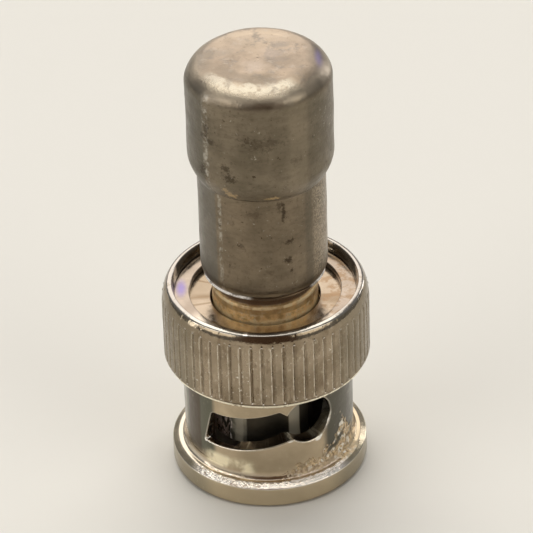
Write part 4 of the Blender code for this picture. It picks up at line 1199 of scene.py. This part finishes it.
def floor():
    mesh = bpy.data.meshes.new("floor")
    size = 6.0
    low = -0.00002
    corners = [(-size, -size, low), (size, -size, low), (size, size, low), (-size, size, low)]
    mesh.from_pydata(corners, [], [(0, 1, 2, 3)])
    plane = bpy.data.objects.new("floor", mesh)
    bpy.context.scene.collection.objects.link(plane)
    mat = bpy.data.materials.new("floor")
    mat.use_nodes = True
    s = mat.node_tree.nodes["Principled BSDF"]
    s.inputs["Base Color"].default_value = (0.73, 0.717, 0.69, 1.0)
    s.inputs["Roughness"].default_value = 0.8
    s.inputs["Specular IOR Level"].default_value = 0.2
    mesh.materials.append(mat)


def softbox(name, azimuth, elevation, distance, wide, tall, radiance, color=(1, 1, 1)):
    """A rectangular lamp that faces the object. Azimuth is from the front towards +X."""
    a, e = math.radians(azimuth), math.radians(elevation)
    where = Vector((math.sin(a) * math.cos(e), -math.cos(a) * math.cos(e), math.sin(e))) * distance
    where.z += 0.016
    lamp = bpy.data.lights.new(name, "AREA")
    lamp.shape, lamp.size, lamp.size_y = "RECTANGLE", wide, tall
    lamp.energy = radiance * math.pi * wide * tall
    lamp.color = color
    item = bpy.data.objects.new(name, lamp)
    item.location = where
    item.rotation_euler = (Vector((0, 0, 0.016)) - where).to_track_quat("-Z", "Y").to_euler()
    item.visible_camera = False
    bpy.context.scene.collection.objects.link(item)


def sky():
    """Soft studio light: a long bright ceiling from front to back, grey sides, a darker front."""
    world = bpy.data.worlds.new("world")
    bpy.context.scene.world = world
    world.use_nodes = True
    g = Nodes(world.node_tree)
    split = g.new("ShaderNodeSeparateXYZ")
    g.join(g.new("ShaderNodeTexCoord").outputs["Generated"], split.inputs[0])
    x, y, z = split.outputs[:3]
    ahead = g.times(y, -1.0)
    rise = g.times(g.op("ARCTAN2", z, ahead), DEGREES)
    side = g.times(g.op("ARCSINE", x), DEGREES)
    level = g.op("SQRT", g.op("MAXIMUM", g.op("SUBTRACT", 1.0, g.times(z, z)), 0.0001))
    turn = g.times(g.op("ARCTAN2", x, ahead), DEGREES)
    high = g.times(g.op("ARCTAN2", z, level), DEGREES)
    front = g.times(g.step(ahead, 0.35, 0.70), g.step(g.op("ABSOLUTE", turn), 42.0, 22.0))
    color = g.mix(front, (0.27, 0.268, 0.262), (0.13, 0.085, 0.06))
    # bright ovals: two angles, their middles and half widths in degrees, softness, colour
    ovals = ((turn, high, -60.0, 33.0, 24.0, 16.0, 0.25, (2.1, 2.04, 1.90)),
             (turn, high, 57.0, 33.0, 22.0, 16.0, 0.25, (2.0, 1.94, 1.78)),
             (rise, side, 83.0, 0.0, 6.0, 26.0, 0.2, (2.4, 2.32, 2.16)),
             (rise, side, 147.0, -5.0, 23.0, 27.0, 0.2, (2.25, 2.12, 1.98)),
             (rise, side, 114.0, -4.0, 19.0, 29.0, 0.2, (3.2, 3.12, 2.88)))
    for u, v, u0, v0, wide, tall, soft, tone in ovals:
        far = g.far(g.away(u, u0, wide), g.away(v, v0, tall))
        color = g.mix(g.step(g.times(far, -1.0), -1.0 - soft, -1.0 + soft), color, tone)
    back = g.tree.nodes["Background"]
    g.join(color, back.inputs["Color"])
    back.inputs["Strength"].default_value = 1.0


def studio():
    sky()
    softbox("left_strip", -84, 10, 0.8, 0.10, 0.42, 4.5)
    softbox("right_strip", 138, 14, 0.8, 0.14, 0.42, 3.4, (1.0, 0.98, 0.97))


def camera():
    """Fitted to the photograph: it looks down on the front, aimed a little off and rolled a little."""
    height, aim, roll, distance = 34.83, 34.16, -1.85, 0.266
    focal_px, frame_px, sensor = 3804.0, 533.0, 36.0
    cam = bpy.data.cameras.new("camera")
    item = bpy.data.objects.new("camera", cam)
    bpy.context.scene.collection.objects.link(item)
    e = math.radians(height)
    where = Vector((0.00014, -distance * math.cos(e), 0.012 + distance * math.sin(e)))
    cam.sensor_width = sensor
    cam.lens = focal_px / frame_px * sensor
    cam.clip_start, cam.clip_end = 0.01, 20.0
    item.matrix_world = (Matrix.Translation(where) @ Matrix.Rotation(math.radians(90.0 - aim), 4, "X")
                         @ Matrix.Rotation(math.radians(roll), 4, "Z"))
    bpy.context.scene.camera = item


floor()
studio()
camera()
bpy.context.scene.view_settings.view_transform = "Standard"
